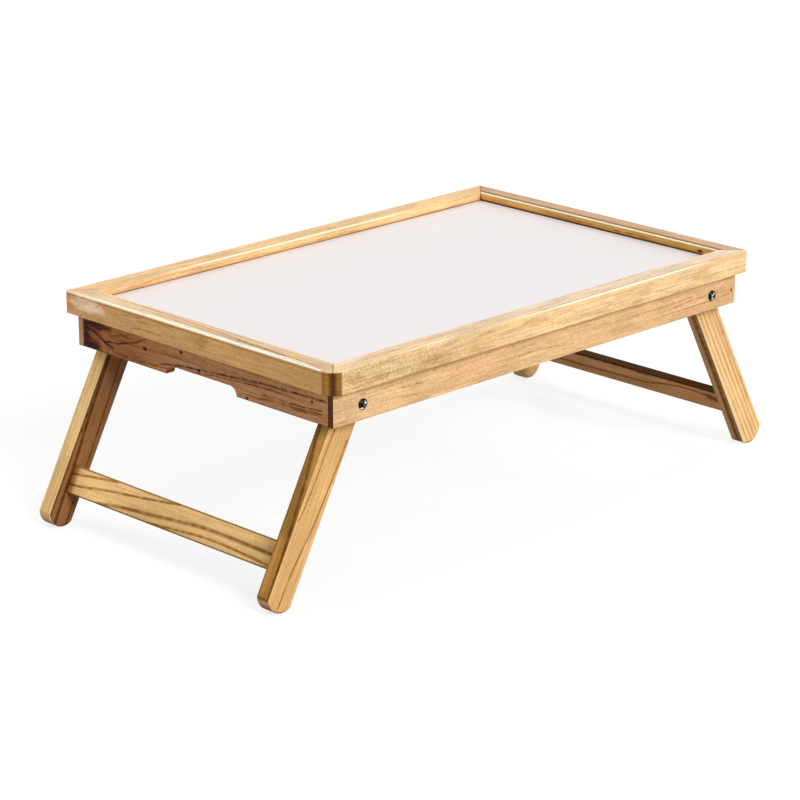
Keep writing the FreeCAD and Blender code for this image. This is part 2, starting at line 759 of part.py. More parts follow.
even_ends = (corner_rounding, corner_rounding)
worn_start = (worn_corner_rounding, corner_rounding)
worn_end = (corner_rounding, worn_corner_rounding)
make_rim("rim_front", tray_length, long_dowels, worn_start, 0, y=-tray_width / 2)
make_rim("rim_back", tray_length, long_dowels, even_ends, 2 * QUARTER_TURN, y=tray_width / 2)
make_rim("rim_left", tray_width, short_dowels, worn_end, -QUARTER_TURN, x=-tray_length / 2)
make_rim("rim_right", tray_width, short_dowels, even_ends, QUARTER_TURN, x=tray_length / 2)
make_panel()
make_long_rail("rail_front", FRONT)
make_long_rail("rail_back", BACK)
make_short_rail("rail_left", LEFT)
make_short_rail("rail_right", RIGHT)

pivots = []
for side, side_name in SIDE_NAMES.items():
    for row, row_name in ROW_NAMES.items():
        make_leg(f"leg_{side_name}_{row_name}", side, row)
        pivots.append((f"{side_name}_{row_name}", side, row))
    make_stretcher(f"stretcher_{side_name}", side)

group("pivot_bolts", [make_bolt("bolt_" + name, side, row) for name, side, row in pivots])
group("spacer_washers", [
    make_washer("spacer_" + name, spacer_diameter, spacer_thickness, side, row, rail_back)
    for name, side, row in pivots])
group("nut_washers", [
    make_washer("nut_washer_" + name, nut_washer_diameter, nut_washer_thickness, side, row,
                nut_washer_face)
    for name, side, row in pivots])
group("lock_nuts", [make_nut("nut_" + name, side, row) for name, side, row in pivots])
make_dowels()
group("corner_brads", [make_brad("brad_" + name, side, row) for name, side, row in pivots])
group("mitre_plates", [
    make_mitre_plate("plate_" + name, side, row) for name, side, row in pivots])

document.recompute()
faults = find_faults()
if faults:
    raise RuntimeError("; ".join(faults))

os.makedirs("parts", exist_ok=True)
for node in nodes:
    node.Shape.exportStep(os.path.join("parts", node.Label + ".step"))
    box = node.Shape.BoundBox
    print(f"{node.Label}: {len(node.Shape.Solids)} solids, {node.Shape.Volume:.0f} mm3, "
          f"x {box.XMin:.2f}..{box.XMax:.2f}, y {box.YMin:.2f}..{box.YMax:.2f}, "
          f"z {box.ZMin:.2f}..{box.ZMax:.2f}")
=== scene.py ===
import json
import math

import bpy
from mathutils import Matrix, Vector


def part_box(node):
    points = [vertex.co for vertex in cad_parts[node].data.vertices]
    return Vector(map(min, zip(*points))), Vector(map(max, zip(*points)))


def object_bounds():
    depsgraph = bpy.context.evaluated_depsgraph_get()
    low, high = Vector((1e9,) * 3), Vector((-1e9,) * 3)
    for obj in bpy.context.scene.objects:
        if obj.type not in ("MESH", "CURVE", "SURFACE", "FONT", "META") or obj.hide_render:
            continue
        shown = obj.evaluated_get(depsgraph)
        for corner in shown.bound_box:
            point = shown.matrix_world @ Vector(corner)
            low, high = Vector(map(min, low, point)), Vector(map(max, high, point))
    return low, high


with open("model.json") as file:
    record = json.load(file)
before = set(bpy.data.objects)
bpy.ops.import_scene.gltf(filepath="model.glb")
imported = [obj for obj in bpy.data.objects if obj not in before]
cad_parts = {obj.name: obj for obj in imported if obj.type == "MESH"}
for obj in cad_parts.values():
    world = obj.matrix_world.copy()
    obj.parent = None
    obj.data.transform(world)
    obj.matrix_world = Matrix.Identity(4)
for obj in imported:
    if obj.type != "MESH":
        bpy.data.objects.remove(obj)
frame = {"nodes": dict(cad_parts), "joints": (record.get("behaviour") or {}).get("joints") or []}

CAD_BOX = [list(corner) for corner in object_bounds()]
NODES = frame["nodes"]
JOINTS = {joint["child"]: joint for joint in frame["joints"]}

# The rim's mitres lie where a point is this much further along the tray than across it.
MITRE_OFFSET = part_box("rim_right")[1][0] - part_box("rim_back")[1][1]
# The lean of the open legs.
SPLAY = math.radians(28)
MM = 0.001

# The axes of a board: along its grain, then the two ways across it.
ALONG_X = (Vector((1, 0, 0)), Vector((0, 1, 0)), Vector((0, 0, 1)))
ALONG_Y = (Vector((0, 1, 0)), Vector((1, 0, 0)), Vector((0, 0, 1)))
UPRIGHT = (Vector((0, 0, 1)), Vector((1, 0, 0)), Vector((0, 1, 0)))

# How far apart the noise of two boards lies, for each step between their seeds.
SEED_STEP = 1.37
# How squarely a surface has to look along an axis to begin to count as that face, and to do so fully.
FACE_FROM, FACE_FULL = 0.74, 0.90
# The same for upright surfaces, by how much they look up or down.
UPRIGHT_FROM, UPRIGHT_FULL = 0.5, 0.3
# The least height in mm between the ends of a drawn line.
LEAST_RISE = 0.01

# Knots: their length against their width, how fast the rings round them fall off, their own wood.
KNOT_STRETCH = 0.55
KNOT_FALL = 0.55
KNOT_SWELL = 1.6
KNOT_CORE = (0.15, 0.05, 0.018)
# Where a knot's own wood begins and where it is full, in radii of the knot.
KNOT_EDGE = (1.1, 0.55)
# The dark line along a mitre: half its width with and without its soft border, in metres.
MITRE_LINE = (0.0011, 0.0003)
MITRE_TONE = (0.42, 0.27, 0.12)
# How near two pieces are for painted shade to gather between them, in metres, and its tone.
SEAM_SHADE_REACH = 0.005
SEAM_SHADE_TONE = (0.34, 0.20, 0.11)

# Tones of lines in the wood.
BROWN = (0.52, 0.37, 0.17)
DEEP_BROWN = (0.30, 0.17, 0.06)
NEARLY_BLACK = (0.14, 0.06, 0.02)


class Tree:
    """Short names for building a material's nodes."""

    def __init__(self, name):
        self.material = bpy.data.materials.new(name)
        self.material.use_nodes = True
        self.tree = self.material.node_tree
        self.tree.nodes.clear()

    def node(self, kind, **settings):
        made = self.tree.nodes.new("ShaderNode" + kind)
        for key, value in settings.items():
            setattr(made, key, value)
        return made

    def plug(self, socket, value):
        if isinstance(value, bpy.types.NodeSocket):
            self.tree.links.new(value, socket)
        elif value is not None:
            socket.default_value = value

    def math(self, operation, first, second=None, third=None):
        made = self.node("Math", operation=operation)
        for socket, value in zip(made.inputs, (first, second, third)):
            self.plug(socket, value)
        return made.outputs[0]

    def add(self, first, second):
        return self.math("ADD", first, second)

    def times(self, first, second):
        return self.math("MULTIPLY", first, second)

    def vector(self, operation, first, second=None, scale=None):
        made = self.node("VectorMath", operation=operation)
        self.plug(made.inputs[0], first)
        self.plug(made.inputs[1], second)
        self.plug(made.inputs[3], scale)
        return made.outputs[1 if operation in ("DOT_PRODUCT", "LENGTH") else 0]

    def object_place(self):
        """A point's place in the frame's own coordinates, in metres."""
        return self.node("TexCoord").outputs["Object"]

    def separate(self, vector):
        made = self.node("SeparateXYZ")
        self.plug(made.inputs[0], vector)
        return made.outputs

    def combine(self, x, y, z):
        made = self.node("CombineXYZ")
        for socket, value in zip(made.inputs, (x, y, z)):
            self.plug(socket, value)
        return made.outputs[0]

    def noise(self, place, scale, detail=2.0, roughness=0.5, colour=False):
        made = self.node("TexNoise")
        self.plug(made.inputs["Vector"], place)
        made.inputs["Scale"].default_value = scale
        made.inputs["Detail"].default_value = detail
        made.inputs["Roughness"].default_value = roughness
        return made.outputs["Color" if colour else "Fac"]

    def span(self, value, low, high, to_low=0.0, to_high=1.0, smooth=True):
        """Map a value from one range to another, held at its ends."""
        made = self.node("MapRange", clamp=True)
        made.interpolation_type = "SMOOTHSTEP" if smooth else "LINEAR"
        for socket, item in zip(made.inputs, (value, low, high, to_low, to_high)):
            self.plug(socket, item)
        return made.outputs[0]

    def fade(self, share, place, bare, full):
        """Take a share away up to one place and leave all of it from another on, both in mm."""
        return self.times(share, self.span(place, bare * MM, full * MM))

    def blend(self, share, first, second, mode="MIX"):
        made = self.node("Mix", data_type="RGBA", blend_type=mode)
        self.plug(made.inputs[0], share)
        for socket, value in ((made.inputs[6], first), (made.inputs[7], second)):
            if isinstance(value, tuple):
                value = (*value, 1.0)
            self.plug(socket, value)
        return made.outputs[2]

    def bump(self, height, strength, distance, onto=None):
        made = self.node("Bump")
        made.inputs["Strength"].default_value = strength
        made.inputs["Distance"].default_value = distance
        self.plug(made.inputs["Height"], height)
        self.plug(made.inputs["Normal"], onto)
        return made.outputs[0]

    def surface(self, colour, roughness, normal=None, coat=None, **constants):
        shader = self.node("BsdfPrincipled")
        self.plug(shader.inputs["Base Color"], colour)
        self.plug(shader.inputs["Roughness"], roughness)
        self.plug(shader.inputs["Normal"], normal)
        self.plug(shader.inputs["Coat Weight"], coat)
        for name, value in constants.items():
            shader.inputs[name.replace("_", " ")].default_value = value
        output = self.node("OutputMaterial")
        self.tree.links.new(shader.outputs[0], output.inputs[0])
        return self.material


# Faces of a board, as the number of one of its three axes and the side it looks to. FRONT is
# the left side of a board that runs from front to back, and the upper edge of a stretcher.
# TOP is for rims and rails, OUTER and INNER are for legs and stretchers.
FRONT = (1, -1)
TOP = (2, 1)
OUTER = (2, 1)
INNER = (2, -1)
ANY_SIDE = (1, 0)


class Grain:
    """A material's place in its board: along the grain, and across it both ways."""

    def __init__(self, tree, axes, origin, seed):
        coordinates = tree.node("TexCoord")
        apart = tree.vector("SUBTRACT", coordinates.outputs["Object"], tuple(origin))
        self.tree = tree
        self.seed = seed
        self.places = [tree.vector("DOT_PRODUCT", apart, tuple(axis)) for axis in axes]
        normal = coordinates.outputs["Normal"]
        self.facing = [tree.vector("DOT_PRODUCT", normal, tuple(axis)) for axis in axes]

    def stretched(self, along, across, shift=0.0):
        """A noise place drawn out along the grain."""
        tree = self.tree
        deep = tree.add(tree.times(self.places[2], across), self.seed * SEED_STEP + shift)
        return tree.combine(tree.times(self.places[0], along), tree.times(self.places[1], across), deep)

    def on(self, face):
        """How far a point lies on one face, given as an axis and a side, or on any upright one."""
        tree = self.tree
        if face == ANY_SIDE:
            return tree.span(tree.math("ABSOLUTE", self.facing[2]), UPRIGHT_FROM, UPRIGHT_FULL)
        axis, side = face
        return tree.span(tree.times(self.facing[axis], float(side)), FACE_FROM, FACE_FULL)


def smooth_line(tree, along, points):
    """The place across the grain of a smooth line through points (along, across) in mm."""
    first, last = points[0][0], points[-1][0]
    lowest = min(across for _, across in points)
    rise = max(max(across for _, across in points) - lowest, LEAST_RISE)
    curve = tree.node("FloatCurve")
    plotted = curve.mapping.curves[0].points
    plotted[0].location = (0.0, (points[0][1] - lowest) / rise)
    plotted[1].location = (1.0, (points[-1][1] - lowest) / rise)
    for place, across in points[1:-1]:
        plotted.new((place - first) / (last - first), (across - lowest) / rise)
    curve.mapping.update()
    tree.plug(curve.inputs["Value"], tree.span(along, first * MM, last * MM, smooth=False))
    return tree.math("MULTIPLY_ADD", curve.outputs[0], rise * MM, lowest * MM)


def shade(tree, share, colour, tone):
    """Multiply a colour by a tone over a share of the surface."""
    return tree.blend(share, colour, tree.blend(1.0, colour, tone, "MULTIPLY"))


def line(face, points, width, tone, strength=0.9, wave=0.3, taper=8, broken=0.0):
    """A line on one face, through points (along, across) in mm: mostly dark late wood, but the pale one
    along the near short rim's outer top edge is a painted highlight.
    """
    points = sorted(points)

    def draw(grain, colour):
        tree = grain.tree
        along = grain.places[0]
        place = tree.combine(tree.times(along, 60.0), points[0][1] * 0.7, grain.seed)
        wobble = tree.add(tree.noise(place, 1.0, 2.0), -0.5)
        middle = tree.add(smooth_line(tree, along, points), tree.times(wobble, 4 * wave * MM))
        apart = tree.math("ABSOLUTE", tree.math("SUBTRACT", grain.places[3 - face[0]], middle))
        share = tree.span(apart, width * 0.75 * MM, width * 0.10 * MM)
        share = tree.fade(share, along, points[0][0], points[0][0] + taper)
        share = tree.fade(share, along, points[-1][0], points[-1][0] - taper)
        place = tree.combine(tree.times(along, 130.0), points[0][0] * 0.3, grain.seed + 5.0)
        uneven = tree.noise(place, 1.0, 2.0)
        weakest = strength * (0.65 - 0.65 * broken)
        share = tree.times(share, tree.span(uneven, 0.30, 0.62, weakest, strength))
        return shade(tree, tree.times(share, grain.on(face)), colour, tone)
    return draw


def zone(face, tone, along=None, across=None, soft=3.0):
    """A change of tone on one face, over all of it or a part of it in mm."""
    def draw(grain, colour):
        tree = grain.tree
        share = grain.on(face)
        for place, limits in ((grain.places[0], along), (grain.places[3 - face[0]], across)):
            if limits is not None:
                low, high = limits
                share = tree.fade(share, place, low - soft / 2, low + soft / 2)
                share = tree.fade(share, place, high + soft / 2, high - soft / 2)
        return shade(tree, share, colour, tone)
    return draw


def spot(face, place, size, tone, ragged=0.5):
    """A pin knot, a stain, a pale patch or a painted glint on one face, at (along, across) in mm, with
    its length and height.
    """
    def draw(grain, colour):
        tree = grain.tree
        spans = ((0, place[0], size[0]), (3 - face[0], place[1], size[1]))
        along, across = (
            tree.times(tree.add(grain.places[axis], -middle * MM), 2.0 / (MM * width))
            for axis, middle, width in spans)
        apart = tree.vector("LENGTH", tree.combine(along, across, 0.0))
        ripple = tree.noise(tree.combine(along, across, grain.seed + place[0]), 1.6, 2.0)
        apart = tree.add(apart, tree.times(tree.add(ripple, -0.5), 2.0 * ragged))
        share = tree.span(apart, 1.15, 0.55)
        return shade(tree, tree.times(share, grain.on(face)), colour, tone)
    return draw


def sparkle(face, along, strength):
    """Broken varnish over open pores on a stretch of one face: dark and pale specks."""
    def draw(grain, colour):
        tree = grain.tree
        share = grain.on(face)
        for bare, full in along:
            share = tree.fade(share, grain.places[0], bare, full)
        specks = tree.noise(grain.stretched(900.0, 1000.0, 13.0), 1.0, 2.0, 0.7)
        dark = tree.times(share, tree.span(specks, 0.50, 0.66, 0.0, strength))
        pale = tree.times(share, tree.span(specks, 0.48, 0.32, 0.0, strength))
        colour = shade(tree, dark, colour, (0.52, 0.40, 0.24))
        return shade(tree, pale, colour, (1.16, 1.30, 1.75))
    return draw


def dark_foot_band(height, tone):
    """Darker on the lowest part of a leg, up to a height in mm."""
    def draw(grain, colour):
        tree = grain.tree
        level = tree.separate(tree.object_place())[2]
        above_floor = tree.add(level, -CAD_BOX[0][2])
        share = tree.span(above_floor, (height + 0.5) * MM, (height - 0.5) * MM)
        return shade(tree, share, colour, tone)
    return draw


def knotted(grain, radius, knots):
    """Swell the rings round each knot, and say where the knots' own wood is."""
    tree = grain.tree
    along, across, deep = grain.places
    core = None
    for knot_along, knot_across, knot_deep, knot_radius in knots:
        offset = tree.combine(tree.times(tree.add(along, -knot_along), KNOT_STRETCH),
                              tree.add(across, -knot_across), tree.add(deep, -knot_deep))
        distance = tree.vector("LENGTH", offset)
        fall = tree.math("POWER", tree.times(distance, KNOT_FALL / knot_radius), 2.0)
        swell = tree.math("EXPONENT", tree.times(fall, -1.0))
        radius = tree.add(radius, tree.times(swell, knot_radius * KNOT_SWELL))
        inside = tree.span(distance, *(knot_radius * limit for limit in KNOT_EDGE))
        core = inside if core is None else tree.math("MAXIMUM", core, inside)
    return radius, core


def rings(grain, pith, spacing, wander, sharp, knots):
    """The share of late wood at a point, and that of the knots."""
    tree = grain.tree
    # The stem isn't straight: the rings wander slowly along the board.
    sway = tree.separate(tree.noise(grain.stretched(5.0, 9.0), 1.0, 2.0, 0.45, colour=True))
    side, level = (
        tree.add(tree.add(grain.places[axis], -pith[axis - 1]),
                 tree.times(tree.add(sway[axis - 1], -0.5), wander))
        for axis in (1, 2))
    radius = tree.math("SQRT", tree.add(tree.times(side, side), tree.times(level, level)))
    radius, core = knotted(grain, radius, knots)

    phase = tree.times(radius, 1.0 / spacing)
    place = tree.combine(tree.times(phase, 0.37), grain.seed * SEED_STEP, 0.0)
    phase = tree.add(phase, tree.times(tree.noise(place, 1.0, 1.0), 2.2))
    ring = tree.math("FRACT", phase)
    late = tree.math("POWER", ring, sharp)
    late = tree.times(late, tree.span(ring, 1.0, 0.93, smooth=False))
    place = tree.combine(tree.math("FLOOR", phase), grain.seed * SEED_STEP, 3.0)
    ring_tone = tree.noise(place, 0.73, 0.0)
    return tree.times(late, tree.span(ring_tone, 0.3, 0.7, 0.35, 1.25)), core


def figure(grain, colour, fibre, mottle, streaks, blotch, speckle):
    """Fibres, short resin streaks, flecks and slow changes of tone along the board."""
    tree = grain.tree
    tone = tree.noise(grain.stretched(9.0, 38.0), 1.0, 3.0, 0.55)
    warm = tree.blend(tree.span(tone, 0.35, 0.68), (1.07, 1.04, 0.98), (0.88, 0.80, 0.66))
    colour = tree.blend(mottle, colour, warm, "MULTIPLY")
    colour = tree.vector("SCALE", colour, scale=tree.span(fibre, 0.3, 0.7, 0.82, 1.09))
    cloud = tree.noise(grain.stretched(22.0, 60.0, 4.0), 1.0, 3.0, 0.6)
    colour = tree.vector("SCALE", colour, scale=tree.span(cloud, 0.3, 0.7, 0.90, 1.07))

    streak = tree.noise(grain.stretched(55.0, 900.0, 7.0), 1.0, 1.0)
    patches = tree.noise(grain.stretched(38.0, 230.0, 11.0), 1.0, 4.0, 0.65)
    flecks = tree.noise(grain.stretched(420.0, 900.0, 2.0), 1.0, 2.0, 0.6)
    layers = (
        (streak, 0.62, 0.76, streaks, (0.50, 0.33, 0.17)),
        (patches, 0.50, 0.68, blotch, (0.70, 0.58, 0.42)),
        (patches, 0.48, 0.32, blotch, (1.10, 1.18, 1.35)),
        (flecks, 0.52, 0.72, speckle, (0.55, 0.42, 0.25)),
        (flecks, 0.46, 0.30, speckle, (1.08, 1.16, 1.35)),
    )
    for pattern, bare, full, strength, tint in layers:
        share = tree.times(tree.span(pattern, bare, full), strength)
        colour = shade(tree, share, colour, tint)
    return colour


def mitre_line(tree, colour):
    """The dark line where two rims meet at a mitre."""
    position = tree.separate(tree.vector("ABSOLUTE", tree.object_place()))
    off = tree.math("SUBTRACT", position[0], position[1])
    off = tree.math("ABSOLUTE", tree.add(off, -MITRE_OFFSET))
    return shade(tree, tree.span(off, *MITRE_LINE, 0.0, 0.9), colour, MITRE_TONE)


def painted_seam_shade(tree, colour):
    """Painted shade where two pieces meet, taken from the ambient occlusion node."""
    open_air = tree.node("AmbientOcclusion", samples=6)
    open_air.inputs["Distance"].default_value = SEAM_SHADE_REACH
    crease_shade = tree.span(open_air.outputs["AO"], 0.35, 0.80, 1.0, 0.0)
    return shade(tree, tree.times(crease_shade, 0.8), colour, SEAM_SHADE_TONE)


def rounded_edge(grain, lit_side, painted_edge_reach):
    """How far a point lies on a rounded edge, on both sides of the board or on one of them."""
    tree = grain.tree
    slant = tree.times(grain.facing[1], grain.facing[2])
    slant = tree.times(slant, float(lit_side)) if lit_side else tree.math("ABSOLUTE", slant)
    edge = tree.span(slant, 0.16, 0.40)
    for bare, full in painted_edge_reach:
        edge = tree.fade(edge, grain.places[0], bare, full)
    return edge


def pine(name, axes, origin, pith, seed, light=(0.86, 0.55, 0.25), dark=(0.52, 0.25, 0.07),
         spacing=0.0032, contrast=0.5, wander=0.006, sharp=3.0, knots=(), marks=(),
         end_tone=(0.50, 0.36, 0.26), gloss=0.34, sheen=0.04, streaks=0.5, mottle=0.75,
         speckle=0.35, blotch=0.0, painted_edge_share=0.08, painted_edge_tone=(0.96, 0.80, 0.52), glint=0.1,
         painted_edge_reach=(), lit_side=0, mitred=False):
    """Clear-varnished softwood: rings round a pith that runs along the grain."""
    tree = Tree(name)
    grain = Grain(tree, axes, origin, seed)
    late, knot_core = rings(grain, pith, spacing, wander, sharp, knots)
    fibre = tree.noise(grain.stretched(14.0, 620.0), 1.0, 3.0, 0.6)

    colour = tree.blend(tree.times(late, contrast), light, dark)
    colour = figure(grain, colour, fibre, mottle, streaks, blotch, speckle)
    if knot_core is not None:
        colour = tree.blend(tree.times(knot_core, 0.85), colour, KNOT_CORE)
    for mark in marks:
        colour = mark(grain, colour)
    cut = tree.span(tree.math("ABSOLUTE", grain.facing[0]), 0.72, 0.95)
    colour = shade(tree, cut, colour, end_tone)
    if mitred:
        colour = mitre_line(tree, colour)
    # Painted shade in the seams between pieces.
    colour = painted_seam_shade(tree, colour)

    # The rounded edges take another tone and gloss than the faces: a painted highlight on most boards,
    # a dark line on the stretchers.
    edge = rounded_edge(grain, lit_side, painted_edge_reach)
    colour = tree.blend(tree.times(edge, painted_edge_share), colour, painted_edge_tone)
    coat = tree.span(edge, 0.0, 1.0, 0.03, glint, smooth=False)

    roughness = tree.span(fibre, 0.25, 0.75, gloss - 0.05, gloss + 0.10)
    roughness = tree.add(roughness, tree.times(late, -0.05))
    relief = tree.add(tree.times(fibre, 0.6), tree.times(late, 0.7))
    fine = tree.bump(relief, 0.22, 0.0004)
    broad = tree.bump(tree.noise(grain.stretched(30.0, 60.0, 9.0), 1.0, 1.0), 0.12, 0.0006, fine)
    return tree.surface(colour, roughness, broad, coat=coat,
                        Coat_Roughness=0.14, Specular_IOR_Level=sheen, IOR=1.48)


def dress(node, material):
    """Give a CAD node a finish in place of its own."""
    thing = NODES[node]
    thing.data.materials.clear()
    thing.data.materials.append(material)
    for face in thing.data.polygons:
        face.material_index = 0


def centre(node):
    """The middle of a node's box."""
    low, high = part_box(node)
    return (low + high) / 2


def leg_axes(side):
    """Down the leg, from front to back, and across its narrow side."""
    down = Vector((side * math.sin(SPLAY), 0, -math.cos(SPLAY)))
    return down, Vector((0, 1, 0)), Vector((side * math.cos(SPLAY), 0, math.sin(SPLAY)))


def stretcher_axes(side):
    """From front to back, down the legs, and across the board's thickness."""
    down, along, across = leg_axes(side)
    return along, down, across


def pivot(body):
    """The middle of a pair of legs' hinge."""
    return Vector(JOINTS[body]["pos_m"])


LEFT_PIVOT = pivot("left_legs")
RIGHT_PIVOT = pivot("right_legs")
# The stretch of a leg that broken varnish covers, with its fading ends, in mm.
WHOLE_LEG = ((-20, 10), (190, 180))
# From the middle of a hinge to about the middle of its back leg.
LEG_ROW = Vector((0, 0.135, 0))


def rim_front_wood():
    """The near long rim: pale, with broken varnish towards its worn left corner."""
    marks = (
        zone(FRONT, (0.98, 1.0, 1.03), along=(-242, -165), soft=40),
        spot(FRONT, (-179, 2), (40, 9), (1.12, 1.16, 1.25), 0.8),
        spot(FRONT, (-120, 5), (50, 6), (1.08, 1.12, 1.20), 0.8),
        spot(FRONT, (-200, -4), (20, 6), (0.82, 0.76, 0.62), 0.9),
        spot(FRONT, (-228, 0), (18, 10), (0.82, 0.76, 0.62), 0.9),
        spot(FRONT, (-140, -3), (34, 8), (0.80, 0.74, 0.66), 0.9),
        spot(FRONT, (-20, 3), (40, 8), (0.84, 0.78, 0.70), 0.9),
        spot(FRONT, (185, -1), (24, 12), (0.92, 0.87, 0.79), 0.9),
        spot(FRONT, (60, 2), (60, 7), (1.08, 1.12, 1.22), 0.9),
        spot(FRONT, (110, -3), (50, 6), (1.10, 1.14, 1.25), 0.9),
        spot(FRONT, (215, 2), (36, 10), (1.10, 1.12, 1.20), 0.9),
        line(TOP, ((-40, -7.2), (60, -7.5), (160, -7.3), (210, -7.1)), 1.6, BROWN, 0.9, 0.3, 10, 0.7),
        line(FRONT, ((150, 1.5), (178, 2.8), (196, 2.2)), 0.9, BROWN, 0.8, 0.5, 6, 0.6),
        line(FRONT, ((196, -4), (214, -2.4), (238, -2.8)), 0.9, BROWN, 0.8, 0.5, 6, 0.6),
        line(FRONT, ((20, -1), (60, 0.4), (86, 0)), 0.9, BROWN, 0.7, 0.5, 6, 0.8),
        sparkle(FRONT, ((-241, -239), (-60, -170)), 0.8),
        sparkle(FRONT, ((-160, -60), (260, 160)), 0.35),
        sparkle(TOP, ((-262, -240), (262, 240)), 0.3),
        # Painted sheen: the top paler and bluer.
        zone(TOP, (1.02, 1.13, 1.50)),
        zone(TOP, (1.0, 0.96, 0.84), along=(-262, -120), soft=60),
        line(TOP, ((-220, 1), (-150, 2.5), (-60, -1), (30, 1)), 1.0, BROWN, 0.75, 0.6, broken=1.0),
        line(TOP, ((-170, -4), (-90, -5), (20, -3), (120, -4)), 1.0, BROWN, 0.7, 0.6, broken=1.0),
        line(TOP, ((-215, -2), (-190, 0), (-160, -1)), 1.6, (0.74, 0.58, 0.40), 0.9, 0.6, broken=0.5),
        line(TOP, ((60, 3), (140, 2), (220, 4)), 1.0, BROWN, 0.6, 0.6, broken=1.0),
        zone(ANY_SIDE, (0.32, 0.24, 0.10), along=(-262, -241.3), soft=2.4),
        zone(ANY_SIDE, (0.40, 0.28, 0.14), along=(-262, -245.8), soft=2.4),
    )
    # The pale edge tone is a painted highlight along the outer top edge.
    return pine("pine_rim_front", ALONG_X, centre("rim_front"), (0.012, -0.055), 1.0,
                light=(0.955, 0.67, 0.355), contrast=0.32, streaks=0.12, speckle=0.40, blotch=0.55,
                mitred=True, lit_side=-1, sheen=0.10, painted_edge_share=0.8, glint=0.5,
                painted_edge_tone=(1.0, 0.91, 0.68), painted_edge_reach=((-40, 30), (205, 150)), marks=marks)


def rim_back_wood():
    """The far long rim, with a dark line where the tray floor meets it."""
    marks = (
        zone(FRONT, (0.42, 0.26, 0.12), across=(-3, 2.5), soft=0.5),
        line(FRONT, ((-200, 5), (-120, 6), (-40, 4), (60, 6)), 1.0, BROWN, 0.7, 0.5, broken=0.9),
    )
    # The pale edge tone is a painted highlight along the inner top edge.
    return pine("pine_rim_back", ALONG_X, centre("rim_back"), (-0.03, -0.04), 2.0,
                light=(0.93, 0.64, 0.33), contrast=0.42, mitred=True, sheen=0.08, blotch=0.3,
                lit_side=-1, painted_edge_tone=(1.0, 0.91, 0.68), painted_edge_share=0.75, glint=0.3,
                painted_edge_reach=((-190, -90), (170, 90)), marks=marks)


def rim_left_wood():
    """The near short rim, paler by its back end."""
    marks = (
        zone(FRONT, (1.08, 0.93, 0.78)),
        spot(FRONT, (132, 2.5), (46, 15), (1.38, 1.75, 2.9), 0.7),
        spot(FRONT, (142, 4), (20, 7), (0.95, 0.9, 0.85), 0.9),
        sparkle(FRONT, ((-152, -148), (175, 165)), 0.25),
        sparkle(FRONT, ((70, 110), (175, 165)), 0.5),
        spot(FRONT, (111, 0), (12, 14), (1.10, 0.98, 0.95), 0.8),
        spot(FRONT, (155, 0), (12, 14), (1.10, 0.85, 0.85), 0.8),
        line(FRONT, ((70, 2.6), (51, 2.4)), 1.2, DEEP_BROWN, 0.9, 0.5, 5, 0.6),
        line(FRONT, ((80, -7), (54, -3.5), (35, -4)), 1.0, DEEP_BROWN, 0.8, 0.5, 5, 0.6),
        line(FRONT, ((100, 2), (78, 4), (60, 6)), 1.0, BROWN, 0.8, 0.5, 5, 0.6),
        spot(FRONT, (-12, 1), (16, 12), (0.86, 0.80, 0.70), 0.9),
        zone(FRONT, (0.80, 0.72, 0.58), across=(6.4, 8.0), soft=0.8),
        # Painted sheen: the top bluer.
        zone(TOP, (0.93, 1.01, 1.30)),
        line(TOP, ((120, 5.5), (70, 4.2), (5, 2.6), (-68, -2.0), (-94, -3.0), (-150, -4.2)), 1.7, BROWN,
             1.0, 0.2, 20, 0.1),
        line(TOP, ((60, -2.0), (0, -2.5), (-40, -3.0), (-68, -3.8), (-110, -4.4)), 1.8, BROWN, 0.9, 0.2,
             8, 0.5),
        line(TOP, ((-40, -1.5), (-68, -2.4), (-110, -3.2)), 1.8, DEEP_BROWN, 0.8, 0.2, 8, 0.9),
        line(TOP, ((60, 6.5), (0, 6.0), (-70, 5.0), (-148, 3.4)), 1.6, (0.90, 0.70, 0.44), 0.9, 0.3, 8,
             0.3),
        # A painted highlight along the outer top edge.
        line(TOP, ((148, -9.2), (90, -8.6), (40, -8.0), (-40, -7.4), (-148, -7.0)), 3.0,
             (1.34, 1.80, 2.60), 1.0, 0.0, 40, 0.0),
        line(TOP, ((-88, -7.7), (-120, -7.5), (-150, -7.3)), 0.8, DEEP_BROWN, 0.95, 0.2, 5, 0.7),
        zone(ANY_SIDE, (0.50, 0.44, 0.28), along=(-175, -150.8), soft=2.0),
        zone(ANY_SIDE, (0.36, 0.24, 0.12), along=(-175, -157.0), soft=2.6),
    )
    # The pale edge tone is a painted highlight along the outer top edge.
    return pine("pine_rim_left", ALONG_Y, centre("rim_left"), (0.03, -0.05), 3.0, mitred=True,
                light=(0.93, 0.64, 0.32), contrast=0.30, streaks=0.2, speckle=0.45, blotch=0.30,
                sheen=0.06, painted_edge_tone=(1.0, 0.93, 0.68), painted_edge_share=1.0, glint=0.7, lit_side=-1,
                painted_edge_reach=((-150.5, -149), (190, 120)), marks=marks)


